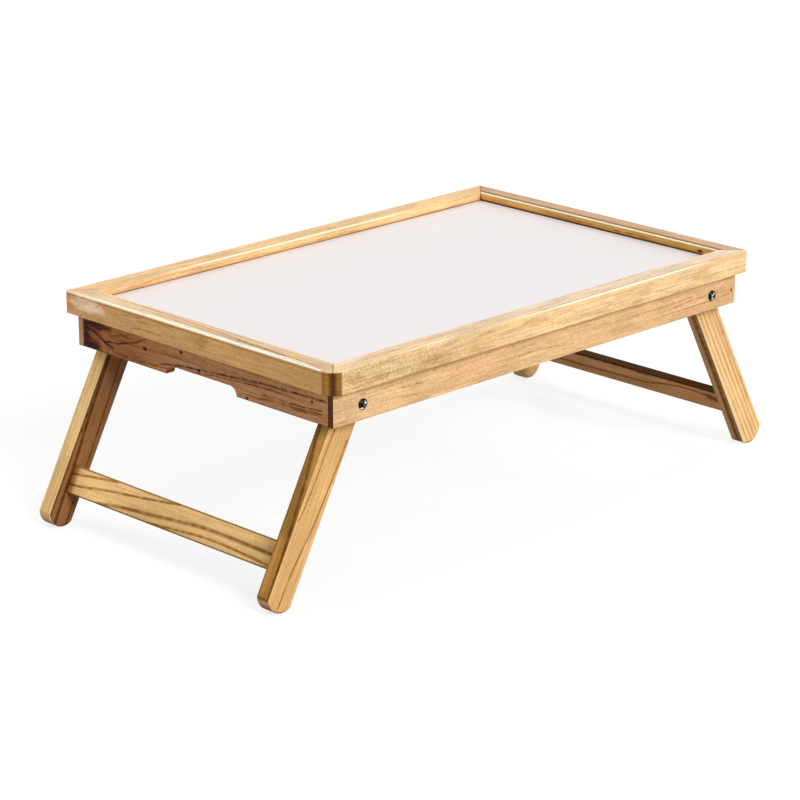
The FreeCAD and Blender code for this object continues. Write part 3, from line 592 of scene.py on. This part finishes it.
def rim_right_wood():
    """The far short rim, in shade on its inner side."""
    marks = (
        zone(TOP, (0.76, 0.72, 0.80)),
        zone(TOP, (0.44, 0.36, 0.20), across=(-9.2, -4.2), soft=1.4),
        line(TOP, ((160, 2), (60, 3), (-60, 1), (-150, 2)), 1.4, (0.80, 0.66, 0.50), 0.9, 0.5,
             broken=0.6),
        sparkle(TOP, ((-170, -150), (170, 150)), 0.35),
        zone(FRONT, (1.05, 0.90, 0.56), along=(40, 170), soft=90),
        zone(FRONT, (0.86, 0.76, 0.42), along=(-170, 40), soft=90),
        zone(FRONT, (0.80, 0.72, 0.60), across=(-3, 4.2), soft=2.0),
        zone(FRONT, (0.16, 0.09, 0.04), across=(-3, 3.0), soft=1.0),
        line(FRONT, ((-20, 5), (-49, 5.4), (-70, 4.6)), 2.2, DEEP_BROWN, 0.7, 0.8, 6, 0.9),
        line(FRONT, ((60, 5), (0, 4.6)), 1.6, DEEP_BROWN, 0.5, 0.8, 6, 0.9),
        spot(FRONT, (-124, 5), (7, 3), NEARLY_BLACK),
    )
    # The pale edge tone is a painted highlight along the inner top edge.
    return pine("pine_rim_right", ALONG_Y, centre("rim_right"), (-0.02, -0.06), 4.0, mitred=True,
                light=(0.93, 0.64, 0.33), contrast=0.42, sheen=0.08, blotch=0.3,
                painted_edge_tone=(1.0, 0.87, 0.57), painted_edge_share=1.0, glint=0.3, lit_side=-1, marks=marks)


def rail_front_wood():
    """The front rail, even in tone."""
    marks = (
        zone(FRONT, (1.0, 1.04, 1.08), along=(-250, -120), soft=60),
        line(FRONT, ((-172, 2.5), (-142, 1)), 1.2, BROWN, 0.9, 0.4, 6, 0.8),
        line(FRONT, ((-176, -5.3), (-146, -6.8)), 1.2, BROWN, 0.9, 0.4, 6, 0.8),
        line(FRONT, ((-120, -3), (-60, -1), (20, -4)), 1.0, BROWN, 0.7, 0.6, 10, 1.0),
        line(FRONT, ((60, 4), (120, 2), (200, 5)), 1.0, BROWN, 0.8, 0.6, 10, 1.0),
        line(FRONT, ((150, -2), (190, 0), (235, 3)), 1.2, BROWN, 0.8, 0.6, 10, 1.0),
        line(FRONT, ((120, -8), (180, -6), (225, -8)), 1.0, BROWN, 0.8, 0.6, 10, 1.0),
        sparkle(FRONT, ((-262, -240), (262, 240)), 0.35),
        # Painted shade under the rim's overhang.
        zone(FRONT, (0.58, 0.46, 0.34), across=(13.3, 17), soft=1.0),
    )
    return pine("pine_rail_front", ALONG_X, centre("rail_front"), (0.05, 0.01), 5.0,
                light=(0.885, 0.57, 0.305), contrast=0.18, spacing=0.006, end_tone=(0.17, 0.085, 0.04),
                streaks=0.45, speckle=0.45, blotch=0.25, marks=marks)


def rail_back_wood():
    """The back rail, which the photograph doesn't show."""
    return pine("pine_rail_back", ALONG_X, centre("rail_back"), (-0.05, 0.01), 6.0,
                light=(0.86, 0.53, 0.26), contrast=0.3, spacing=0.005, end_tone=(0.92, 0.86, 0.90))


def rail_left_wood():
    """The left rail: dark, with a knot at its back end and long resin lines."""
    marks = (
        zone(FRONT, (0.74, 0.58, 0.44), along=(60, 160), soft=60),
        zone(FRONT, (0.62, 0.44, 0.32), along=(126, 160), soft=8),
        spot(FRONT, (144, -8), (16, 17), (0.24, 0.12, 0.06), 0.9),
        spot(FRONT, (134, -11), (16, 7), (0.34, 0.18, 0.10), 0.9),
        spot(FRONT, (128, 9), (34, 9), (0.26, 0.13, 0.07), 0.8),
        spot(FRONT, (134, -3), (14, 6), (1.3, 1.45, 1.6), 0.6),
        line(FRONT, ((147, 3.2), (136.6, 2.6), (126.4, -1.3), (118.8, -4.8), (107, -7.5)), 3.4,
             NEARLY_BLACK, 1.0, 0.3, 4),
        line(FRONT, ((148, 0.6), (136.6, 0), (127, -4), (120, -8)), 1.6, (1.3, 1.6, 1.8), 0.9, 0.5, 4,
             0.3),
        line(FRONT, ((148, -3), (136.6, -5), (129, -9), (124, -14)), 2.2, NEARLY_BLACK, 0.9, 0.5, 4,
             0.3),
        line(FRONT, ((148, 8), (136, 7.4), (130, 5.3), (122, 4.9)), 3.0, NEARLY_BLACK, 0.95, 0.3, 4),
        line(FRONT, ((121, -3.6), (107, -2.2), (94, 0.4), (85, 2.6), (75, 6.6), (66, 10.3)), 2.0,
             NEARLY_BLACK, 1.0, 0.7, 4, 0.5),
        line(FRONT, ((118, 2), (100, 5), (88, 9)), 1.6, DEEP_BROWN, 0.9, 0.8, 4, 0.7),
        spot(FRONT, (68.7, 1.1), (6, 4.5), NEARLY_BLACK),
        spot(FRONT, (23.6, 8.1), (4.5, 3.5), NEARLY_BLACK),
        spot(FRONT, (2, -2.6), (4, 3), NEARLY_BLACK),
        spot(FRONT, (-55.2, -12.3), (4, 3), NEARLY_BLACK),
        spot(FRONT, (-130.5, 2.3), (3.4, 3), NEARLY_BLACK),
        line(FRONT, ((53, -8.4), (1, -1.5), (-17, -0.7), (-41, 1.8), (-61, 3.1), (-82, 4.2),
                     (-105, 4.6), (-130, 5.6), (-150, 5.7)), 2.2, NEARLY_BLACK, 1.0, 0.4, 6, 0.8),
        line(FRONT, ((80, -10.5), (40, -9.5), (5, -5), (-30, -2), (-73, 0.4), (-100, 1)), 1.4,
             DEEP_BROWN, 1.0, 0.6, 6, 0.8),
        line(FRONT, ((-40, -9.5), (-65, -9), (-97, -7.2), (-148, -6)), 1.4, DEEP_BROWN, 1.0, 0.6, 6,
             0.8),
        line(FRONT, ((-70, -4.5), (-96, -4.9), (-117, -4.2), (-148, -1.6)), 1.6, DEEP_BROWN, 1.0, 0.6,
             6, 0.8),
        line(FRONT, ((-105, -9), (-142, -7.3)), 1.4, DEEP_BROWN, 1.0, 0.6, 6, 0.7),
        line(FRONT, ((118, -13.6), (60, -13.6), (30, -13.4)), 1.0, (1.5, 1.6, 1.6), 0.8, 0.2, 10, 0.4),
        sparkle(FRONT, ((-160, -150), (160, 150)), 0.45),
        line(FRONT, ((148, -9.5), (138, -11), (126, -12)), 1.8, NEARLY_BLACK, 0.9, 0.4, 4, 0.5),
        line(FRONT, ((112, -10.4), (98, -11.4), (84, -11.6), (66, -12.4)), 1.4, DEEP_BROWN, 0.9, 0.5, 5,
             0.8),
        line(FRONT, ((104, 9), (96, 6.5), (84, 5.6)), 1.6, DEEP_BROWN, 0.9, 0.5, 5, 0.7),
        zone(FRONT, (0.42, 0.30, 0.22), across=(-17, -13.3), soft=0.8),
        # Painted shade under the rim's overhang.
        zone(FRONT, (0.42, 0.30, 0.20), across=(12.2, 17), soft=1.8),
    )
    return pine("pine_rail_left", ALONG_Y, centre("rail_left"), (-0.03, 0.012), 7.0,
                light=(0.80, 0.405, 0.185), dark=(0.26, 0.08, 0.02), contrast=0.50, streaks=0.9,
                speckle=0.45, blotch=0.45, knots=((0.150, -0.004, 0.003, 0.007),), marks=marks)


def rail_right_wood():
    """The right rail, which the photograph doesn't show."""
    return pine("pine_rail_right", ALONG_Y, centre("rail_right"), (0.03, 0.012), 8.0,
                light=(0.74, 0.42, 0.19), contrast=0.5)


def leg_left_front_wood():
    """The nearest leg, with one dark line down its outer side."""
    marks = (
        zone(OUTER, (0.54, 0.45, 0.24)),
        zone(OUTER, (0.45, 0.35, 0.25), along=(168, 182), soft=3),
        zone(OUTER, (1.6, 1.6, 1.8), along=(118, 165), across=(-2, 6.5), soft=10),
        zone(OUTER, (1.35, 1.4, 1.6), along=(24, 75), across=(-6, 1), soft=5),
        line(OUTER, ((20, 4), (33, 3.2), (70, -1.1), (94, -2.7), (114, -4.5), (139, -5.7), (170, -6.6)),
             4.0, (0.44, 0.30, 0.12), 1.0, 0.3, 4),
        zone(OUTER, (0.55, 0.5, 0.4), across=(5.6, 8), soft=1),
        # Painted shade along the inner edge near the top.
        zone(FRONT, (0.74, 0.70, 0.60), along=(15, 66), across=(-14, -11.2), soft=2),
        zone(FRONT, (0.50, 0.36, 0.20), along=(174.2, 182), soft=1.5),
        line(FRONT, ((20, 6.5), (44, 7.9), (66, 7.9), (88, 9.2), (106, 12.0)), 1.8, (0.50, 0.32, 0.12),
             1.0, 0.2, 6),
        line(FRONT, ((28, -10.4), (63, -9.1), (97, -7.1), (127, -3.2), (141, -1.1), (156, -0.4),
                     (174, -0.1)), 1.8, (0.46, 0.28, 0.10), 1.0, 0.2, 3),
        sparkle(FRONT, WHOLE_LEG, 0.22),
        sparkle(OUTER, WHOLE_LEG, 0.30),
        # A painted glint.
        spot(FRONT, (98, 11), (3, 1.6), (1.4, 1.8, 2.6), 0.2),
        dark_foot_band(1.2, (0.50, 0.38, 0.26)),
    )
    return pine("pine_leg_1", leg_axes(-1), LEFT_PIVOT - LEG_ROW, (-0.03, 0.03), 9.0,
                light=(0.85, 0.535, 0.23), contrast=0.10, spacing=0.006, end_tone=(0.22, 0.13, 0.08),
                streaks=0.06, marks=marks)


def leg_left_back_wood():
    """The left back leg, with painted shade over its front side, which lies under the tray."""
    marks = (
        # Painted shade under the tray.
        zone(FRONT, (0.305, 0.205, 0.165)),
        zone(FRONT, (0.55, 0.60, 0.45), across=(10, 15), soft=1.5),
        line(FRONT, ((20, 9.4), (41, 9.1), (83, 7.9), (122, 5.4), (153, 4.8), (182, 2.9)), 3.8,
             (0.32, 0.18, 0.05), 1.0, 0.2, 4),
        line(FRONT, ((20, -4), (37, -4.7), (71, -6.4), (97, -7.1), (116, -7.8), (150, -7.7),
                     (182, -8.4)), 1.8, (0.34, 0.20, 0.08), 1.0, 0.2, 4),
        spot(FRONT, (93, 10.2), (5, 1.6), NEARLY_BLACK, 0.9),
        spot(FRONT, (80, 10.4), (4, 1.6), NEARLY_BLACK, 0.9),
        sparkle(OUTER, WHOLE_LEG, 0.25),
        sparkle(FRONT, WHOLE_LEG, 0.35),
        zone(FRONT, (0.25, 0.16, 0.10), across=(-16, -12.0), soft=1),
        dark_foot_band(1.5, (0.22, 0.15, 0.10)),
    )
    return pine("pine_leg_2", leg_axes(-1), LEFT_PIVOT + LEG_ROW, (-0.04, 0.01), 10.0,
                light=(1.0, 0.675, 0.30), contrast=0.10, spacing=0.006, end_tone=(0.26, 0.15, 0.09),
                streaks=0.08, mottle=0.5, marks=marks)


def leg_right_front_wood():
    """The right front leg, with even stripes on its front side."""
    stripes = [
        line(FRONT, ((2, level - 0.5), (100, level + 0.8), (190, level + 2.2)),
             2.2, (0.66, 0.50, 0.30), 0.85, 0.3)
        for level in (-10.0, -5.3, -0.5, 4.2, 8.2)]
    marks = (
        zone(INNER, (0.76, 0.66, 0.54)),
        line(INNER, ((10, -1), (28, -1.4), (75, -1.7), (132, -1.3), (190, -1.5)), 5.6,
             (0.30, 0.15, 0.03), 1.0, 0.2, 4),
        zone(INNER, (0.5, 0.5, 0.25), across=(-8, -4.6), soft=1.5),
        zone(INNER, (0.35, 0.25, 0.18), across=(6.0, 8), soft=0.8),
        *stripes,
        dark_foot_band(1.2, (0.50, 0.38, 0.26)),
    )
    # The pale edge tone is a painted highlight on the rounded edges.
    return pine("pine_leg_3", leg_axes(1), RIGHT_PIVOT - LEG_ROW, (-0.06, 0.0), 11.0,
                light=(0.97, 0.645, 0.335), contrast=0.06, spacing=0.004, wander=0.003,
                end_tone=(0.30, 0.17, 0.10), painted_edge_tone=(1.0, 0.84, 0.50), painted_edge_share=0.7, streaks=0.1,
                sheen=0.02, marks=marks)


def leg_right_back_wood():
    """The right back leg, of which only the foot shows."""
    return pine("pine_leg_4", leg_axes(1), RIGHT_PIVOT + LEG_ROW, (0.05, 0.02), 12.0,
                light=(0.93, 0.60, 0.26), contrast=0.5, end_tone=(0.40, 0.24, 0.15))


def stretcher_left_wood():
    """The left stretcher, with long sweeping rings."""
    marks = (
        # Painted light: this stretch is lifted against the shade that falls on it.
        zone(OUTER, (1.20, 1.20, 1.20), along=(50, 120), soft=40),
        # Painted shadow of the back leg on this end.
        zone(OUTER, (0.50, 0.40, 0.25), along=(122, 140), soft=6),
        line(OUTER, ((134, 139), (121, 138.3), (87, 133.5), (50, 129.4), (15, 125.3), (-8, 122)), 2.4,
             (0.36, 0.24, 0.08), 1.0, 0.06, 6),
        line(OUTER, ((134, 129.5), (120, 128.5), (97, 125.7), (70, 123)), 2.4, (0.40, 0.26, 0.09), 1.0,
             0.06, 6),
        line(OUTER, ((96, 147), (83, 144.9), (45, 140.1), (21, 138.4), (-15, 135.1), (-38, 133.5),
                     (-74, 133.2), (-98, 133.5), (-134, 134)), 3.6, (0.36, 0.23, 0.08), 1.0, 0.06, 10),
        line(OUTER, ((30, 147), (19, 145.4), (-18, 142.2), (-54, 140.3), (-90, 141.5), (-134, 143.5)),
             2.6, (0.40, 0.26, 0.09), 1.0, 0.06, 6),
        sparkle(OUTER, ((-150, -134), (150, 134)), 0.22),
        zone(OUTER, (0.30, 0.22, 0.13), across=(120, 122.9), soft=0.8),
        zone(OUTER, (0.30, 0.22, 0.13), across=(145.0, 148), soft=0.8),
    )
    return pine("pine_stretcher_1", stretcher_axes(-1), LEFT_PIVOT, (0.136, -0.018), 13.0,
                light=(1.0, 0.65, 0.28), contrast=0.08, spacing=0.005, streaks=0.06, mottle=0.45,
                painted_edge_share=0.9, painted_edge_tone=(0.30, 0.17, 0.05), glint=0.02, marks=marks)


def stretcher_right_wood():
    """The right stretcher, dark on its upper edge."""
    marks = (
        zone(FRONT, (0.105, 0.072, 0.010)),
        zone(INNER, (0.20, 0.145, 0.035), across=(118, 124.2), soft=1.5),
        zone(INNER, (1.02, 0.99, 1.02)),
        line(INNER, ((60, 124), (-4, 123.4), (-28, 124.2), (-50, 123), (-77, 122.6), (-134, 123.6)),
             4.6, (0.30, 0.17, 0.05), 1.0, 0.05, 6),
        line(INNER, ((90, 137), (50, 137.2), (0, 136.4), (-24, 136.2), (-37, 134.7), (-51, 131.7),
                     (-63, 130.0), (-76, 128.9), (-99, 129.8), (-108, 131.3), (-120, 134.6)), 2.4,
             (0.40, 0.26, 0.10), 1.0, 0.05, 6),
        spot(INNER, (-60, 127.5), (60, 4.0), (1.10, 1.10, 1.0), 0.3),
        sparkle(INNER, ((-150, -134), (150, 134)), 0.3),
        spot(INNER, (-113, 132), (26, 9), (0.55, 0.42, 0.34), 0.8),
        zone(INNER, (0.40, 0.30, 0.20), across=(145.2, 148), soft=0.8),
    )
    return pine("pine_stretcher_2", stretcher_axes(1), RIGHT_PIVOT, (0.120, -0.03), 14.0,
                light=(0.84, 0.465, 0.20), contrast=0.20, spacing=0.005, streaks=0.3, sheen=0.004,
                painted_edge_share=0.85, painted_edge_tone=(0.16, 0.09, 0.02), glint=0.01, marks=marks)


def laminate():
    """White laminate with a faint cloudiness and a fine orange peel."""
    tree = Tree("laminate_white")
    place = tree.object_place()
    cloud = tree.noise(place, 9.0, 3.0, 0.55)
    speck = tree.noise(place, 420.0, 2.0, 0.6)
    colour = tree.blend(tree.span(cloud, 0.3, 0.7), (0.858, 0.806, 0.808), (0.844, 0.802, 0.796))
    colour = tree.vector("SCALE", colour, scale=tree.span(speck, 0.3, 0.7, 0.985, 1.01))
    roughness = tree.span(tree.noise(place, 26.0, 3.0), 0.3, 0.7, 0.36, 0.46)
    peel = tree.bump(tree.noise(place, 650.0, 1.0), 0.05, 0.0002)
    return tree.surface(colour, roughness, peel, IOR=1.45)


def metal(name, tone, worn, shine, grime):
    """Plated or bare steel with rubbed spots and faint tool marks."""
    tree = Tree(name)
    place = tree.object_place()
    rubbed = tree.span(tree.noise(place, 900.0, 3.0, 0.6), 0.55, 0.72)
    cloud = tree.span(tree.noise(place, 260.0, 2.0), 0.3, 0.7)
    colour = tree.blend(tree.times(rubbed, 0.5), tone, worn)
    colour = tree.blend(tree.times(cloud, grime), colour, (0.02, 0.018, 0.015))
    roughness = tree.add(tree.span(cloud, 0.0, 1.0, shine, shine + 0.14), tree.times(rubbed, 0.08))
    marks = tree.bump(tree.noise(place, 2400.0, 2.0), 0.10, 0.0001)
    return tree.surface(colour, roughness, marks, Metallic=1.0, Coat_Weight=1.0,
                        Coat_Roughness=0.06)


def zinc_steel():
    """The nuts' and their washers' plating."""
    return metal("steel_zinc", (0.62, 0.63, 0.66), (0.76, 0.76, 0.76), 0.28, 0.2)


def bright_steel():
    """The mitre plates' bare steel."""
    return metal("steel_bright", (0.50, 0.49, 0.47), (0.66, 0.65, 0.63), 0.32, 0.35)


def nylon():
    """Uncoloured nylon, slightly see-through."""
    tree = Tree("nylon_natural")
    place = tree.object_place()
    cloud = tree.noise(place, 180.0, 3.0, 0.55)
    colour = tree.blend(tree.span(cloud, 0.3, 0.7), (0.80, 0.78, 0.70), (0.70, 0.67, 0.58))
    roughness = tree.span(cloud, 0.3, 0.7, 0.42, 0.55)
    return tree.surface(colour, roughness, tree.bump(cloud, 0.08, 0.0002),
                        Subsurface_Weight=0.1, Subsurface_Scale=0.002)


# Painted glints on the bolt heads: the hinge that the bolt is on, then across and up from its middle,
# width and height in mm.
PAINTED_GLINT_SPOTS = (
    (LEFT_PIVOT, 0.9, 1.4, 2.2, 3.6),
    (LEFT_PIVOT, -2.2, -2.8, 3.2, 1.9),
    (RIGHT_PIVOT, -1.2, 0.4, 2.9, 2.5),
    (RIGHT_PIVOT, 0.2, 2.0, 2.3, 2.0),
    (RIGHT_PIVOT, -1.2, -2.0, 2.8, 1.9),
)
# The same for duller painted reflections.
PAINTED_REFLECTION_SPOTS = (
    (LEFT_PIVOT, 0.6, -0.8, 2.0, 4.6),
    (LEFT_PIVOT, 2.4, -2.0, 2.8, 2.6),
    (RIGHT_PIVOT, 0.2, -3.2, 3.0, 1.4),
)


def spots_on_bolts(tree, place, spots):
    """How far a point lies in one of several round spots on the bolt heads."""
    reached = None
    for middle, across, up, width, height in spots:
        spot_middle = (middle[0] + across * MM, 0.0, middle[2] + up * MM)
        apart = tree.vector("SUBTRACT", place, spot_middle)
        apart = tree.vector("MULTIPLY", apart, (2 / (width * MM), 0.0, 2 / (height * MM)))
        share = tree.span(tree.vector("LENGTH", apart), 1.2, 0.5)
        reached = share if reached is None else tree.math("MAXIMUM", reached, share)
    return reached


def black_steel():
    """Black lacquered bolt heads, with painted glints and duller painted reflections on them."""
    tree = Tree("steel_black")
    place = tree.object_place()
    scratched = tree.span(tree.noise(place, 1500.0, 3.0, 0.6), 0.56, 0.70)
    colour = tree.blend(tree.times(scratched, 0.03), (0.003, 0.003, 0.003), (0.5, 0.45, 0.4))
    # Painted reflections, then painted glints, over the black.
    colour = tree.blend(spots_on_bolts(tree, place, PAINTED_REFLECTION_SPOTS), colour, (0.27, 0.24, 0.17))
    colour = tree.blend(spots_on_bolts(tree, place, PAINTED_GLINT_SPOTS), colour, (0.98, 0.98, 0.96))
    roughness = tree.span(scratched, 0.0, 1.0, 0.16, 0.28)
    marks = tree.bump(tree.noise(place, 2400.0, 2.0), 0.10, 0.0001)
    return tree.surface(colour, roughness, marks, Specular_IOR_Level=0.10)


def brads():
    """Browned steel brads; those at the tray's left end are stopped with filler and show as wood."""
    tree = Tree("steel_browned")
    place = tree.object_place()
    cloud = tree.span(tree.noise(place, 700.0, 3.0, 0.6), 0.3, 0.7)
    bare = tree.span(tree.separate(place)[0], -0.1, 0.1)
    steel = tree.blend(cloud, (0.10, 0.055, 0.03), (0.16, 0.10, 0.06))
    filler = tree.blend(cloud, (0.80, 0.50, 0.26), (0.66, 0.38, 0.18))
    roughness = tree.span(cloud, 0.0, 1.0, 0.42, 0.60)
    marks = tree.bump(cloud, 0.10, 0.0001)
    return tree.surface(tree.blend(bare, filler, steel), roughness, marks, Specular_IOR_Level=0.10)


def beech():
    """The dowels' pale wood."""
    return pine("beech_dowel", UPRIGHT, centre("rim_dowels"), (0.0, 0.02), 15.0,
                light=(0.74, 0.52, 0.33), dark=(0.48, 0.28, 0.15), contrast=0.3, spacing=0.0015)


dress("rim_front", rim_front_wood())
dress("rim_back", rim_back_wood())
dress("rim_left", rim_left_wood())
dress("rim_right", rim_right_wood())
dress("rail_front", rail_front_wood())
dress("rail_back", rail_back_wood())
dress("rail_left", rail_left_wood())
dress("rail_right", rail_right_wood())
dress("leg_left_front", leg_left_front_wood())
dress("leg_left_back", leg_left_back_wood())
dress("leg_right_front", leg_right_front_wood())
dress("leg_right_back", leg_right_back_wood())
dress("stretcher_left", stretcher_left_wood())
dress("stretcher_right", stretcher_right_wood())
dress("tray_panel", laminate())
dress("pivot_bolts", black_steel())
dress("spacer_washers", nylon())
ZINC = zinc_steel()
dress("nut_washers", ZINC)
dress("lock_nuts", ZINC)
dress("corner_brads", brads())
dress("mitre_plates", bright_steel())
dress("rim_dowels", beech())

# How bright the sky is on the object, where white is 1, and how strongly the floor glows to the camera.
WORLD_LEVEL = 0.40
FLOOR_GLOW = 0.80
# The part of the floor's own tone that is left to the camera, which sees the glow as well.
SEEN_FLOOR = 0.55
# Half the floor's length, in metres.
FLOOR_REACH = 30.0


def floor_material():
    """Pale floor that reads as white to the camera and keeps the object's soft shadow."""
    tree = Tree("floor_pale")
    mottle = tree.span(tree.noise(tree.object_place(), 3.0, 3.0), 0.3, 0.7, 0.46, 0.48)
    matt = tree.node("BsdfDiffuse")
    rays = tree.node("LightPath")
    left = tree.span(rays.outputs["Is Camera Ray"], 0.0, 1.0, 1.0, SEEN_FLOOR)
    mottle = tree.times(mottle, left)
    tree.plug(matt.inputs["Color"], tree.combine(mottle, mottle, mottle))
    glow = tree.node("Emission")
    glow.inputs["Color"].default_value = (1, 1, 1, 1)
    seen = tree.math("MAXIMUM", rays.outputs["Is Camera Ray"], rays.outputs["Is Glossy Ray"])
    seen = tree.math("MAXIMUM", seen, rays.outputs["Is Transmission Ray"])
    tree.plug(glow.inputs["Strength"], tree.times(seen, FLOOR_GLOW))
    both = tree.node("AddShader")
    tree.plug(both.inputs[0], matt.outputs[0])
    tree.plug(both.inputs[1], glow.outputs[0])
    output = tree.node("OutputMaterial")
    tree.plug(output.inputs[0], both.outputs[0])
    return tree.material


def add_floor():
    mesh = bpy.data.meshes.new("floor")
    corners = [(x * FLOOR_REACH, y * FLOOR_REACH, 0)
               for x, y in ((-1, -1), (1, -1), (1, 1), (-1, 1))]
    mesh.from_pydata(corners, [], [(0, 1, 2, 3)])
    floor = bpy.data.objects.new("floor", mesh)
    bpy.context.scene.collection.objects.link(floor)
    mesh.materials.append(floor_material())


def add_world():
    """An even pale sky; white where the camera or a reflection sees it."""
    world = bpy.data.worlds.new("studio")
    bpy.context.scene.world = world
    world.use_nodes = True
    tree = world.node_tree
    tree.nodes.clear()
    rays = tree.nodes.new("ShaderNodeLightPath")
    direct = tree.nodes.new("ShaderNodeMath")
    direct.operation = "MAXIMUM"
    tree.links.new(rays.outputs["Is Camera Ray"], direct.inputs[0])
    tree.links.new(rays.outputs["Is Glossy Ray"], direct.inputs[1])
    seen = tree.nodes.new("ShaderNodeMath")
    seen.operation = "MAXIMUM"
    tree.links.new(direct.outputs[0], seen.inputs[0])
    tree.links.new(rays.outputs["Is Transmission Ray"], seen.inputs[1])
    strength = tree.nodes.new("ShaderNodeMapRange")
    tree.links.new(seen.outputs[0], strength.inputs[0])
    strength.inputs[3].default_value = WORLD_LEVEL
    strength.inputs[4].default_value = 1.0
    sky = tree.nodes.new("ShaderNodeBackground")
    sky.inputs["Color"].default_value = (1, 1, 1, 1)
    tree.links.new(strength.outputs[0], sky.inputs["Strength"])
    output = tree.nodes.new("ShaderNodeOutputWorld")
    tree.links.new(sky.outputs[0], output.inputs[0])


def add_sun(name, towards, strength, spread):
    """A soft distant lamp; towards points from the object to the lamp."""
    lamp = bpy.data.lights.new(name, "SUN")
    lamp.energy = strength
    lamp.angle = math.radians(spread)
    thing = bpy.data.objects.new(name, lamp)
    bpy.context.scene.collection.objects.link(thing)
    thing.rotation_euler = Vector(towards).to_track_quat("Z", "Y").to_euler()


add_floor()
add_world()
add_sun("key", (-0.12, -0.83, 0.54), 2.3, 26)
add_sun("back", (0.06, 0.67, 0.74), 0.5, 12)
add_sun("right", (0.67, 0.06, 0.74), 0.4, 12)

# The camera, fitted to the edges in the photograph: focal length in picture widths,
# the way it looks, and the point of the rim's top plane that it is measured from.
PICTURE_WIDTH = 800
FOCAL = 3049.26 / PICTURE_WIDTH
AZIMUTH = math.radians(-44.8194)
ELEVATION = math.radians(18.3443)
ROLL = math.radians(-0.0266)
OFFSET = Vector((-0.0120484, -0.111306, 2.5989285))
SENSOR = 36.0
CLIP_END = 100.0


def add_camera():
    """The photograph's camera."""
    back = Vector((math.sin(AZIMUTH) * math.cos(ELEVATION),
                   -math.cos(AZIMUTH) * math.cos(ELEVATION),
                   math.sin(ELEVATION)))
    level = Vector((0, 0, 1)).cross(back).normalized()
    upward = back.cross(level)
    right = level * math.cos(ROLL) + upward * math.sin(ROLL)
    up = upward * math.cos(ROLL) - level * math.sin(ROLL)
    turn = Matrix((right, up, back)).transposed()
    place = turn @ OFFSET + Vector((0, 0, CAD_BOX[1][2]))
    camera = bpy.data.cameras.new("camera")
    camera.sensor_width = SENSOR
    camera.lens = FOCAL * SENSOR
    camera.clip_end = CLIP_END
    thing = bpy.data.objects.new("camera", camera)
    bpy.context.scene.collection.objects.link(thing)
    thing.matrix_world = Matrix.Translation(place) @ turn.to_4x4()
    bpy.context.scene.camera = thing


add_camera()
bpy.context.scene.view_settings.view_transform = "Standard"
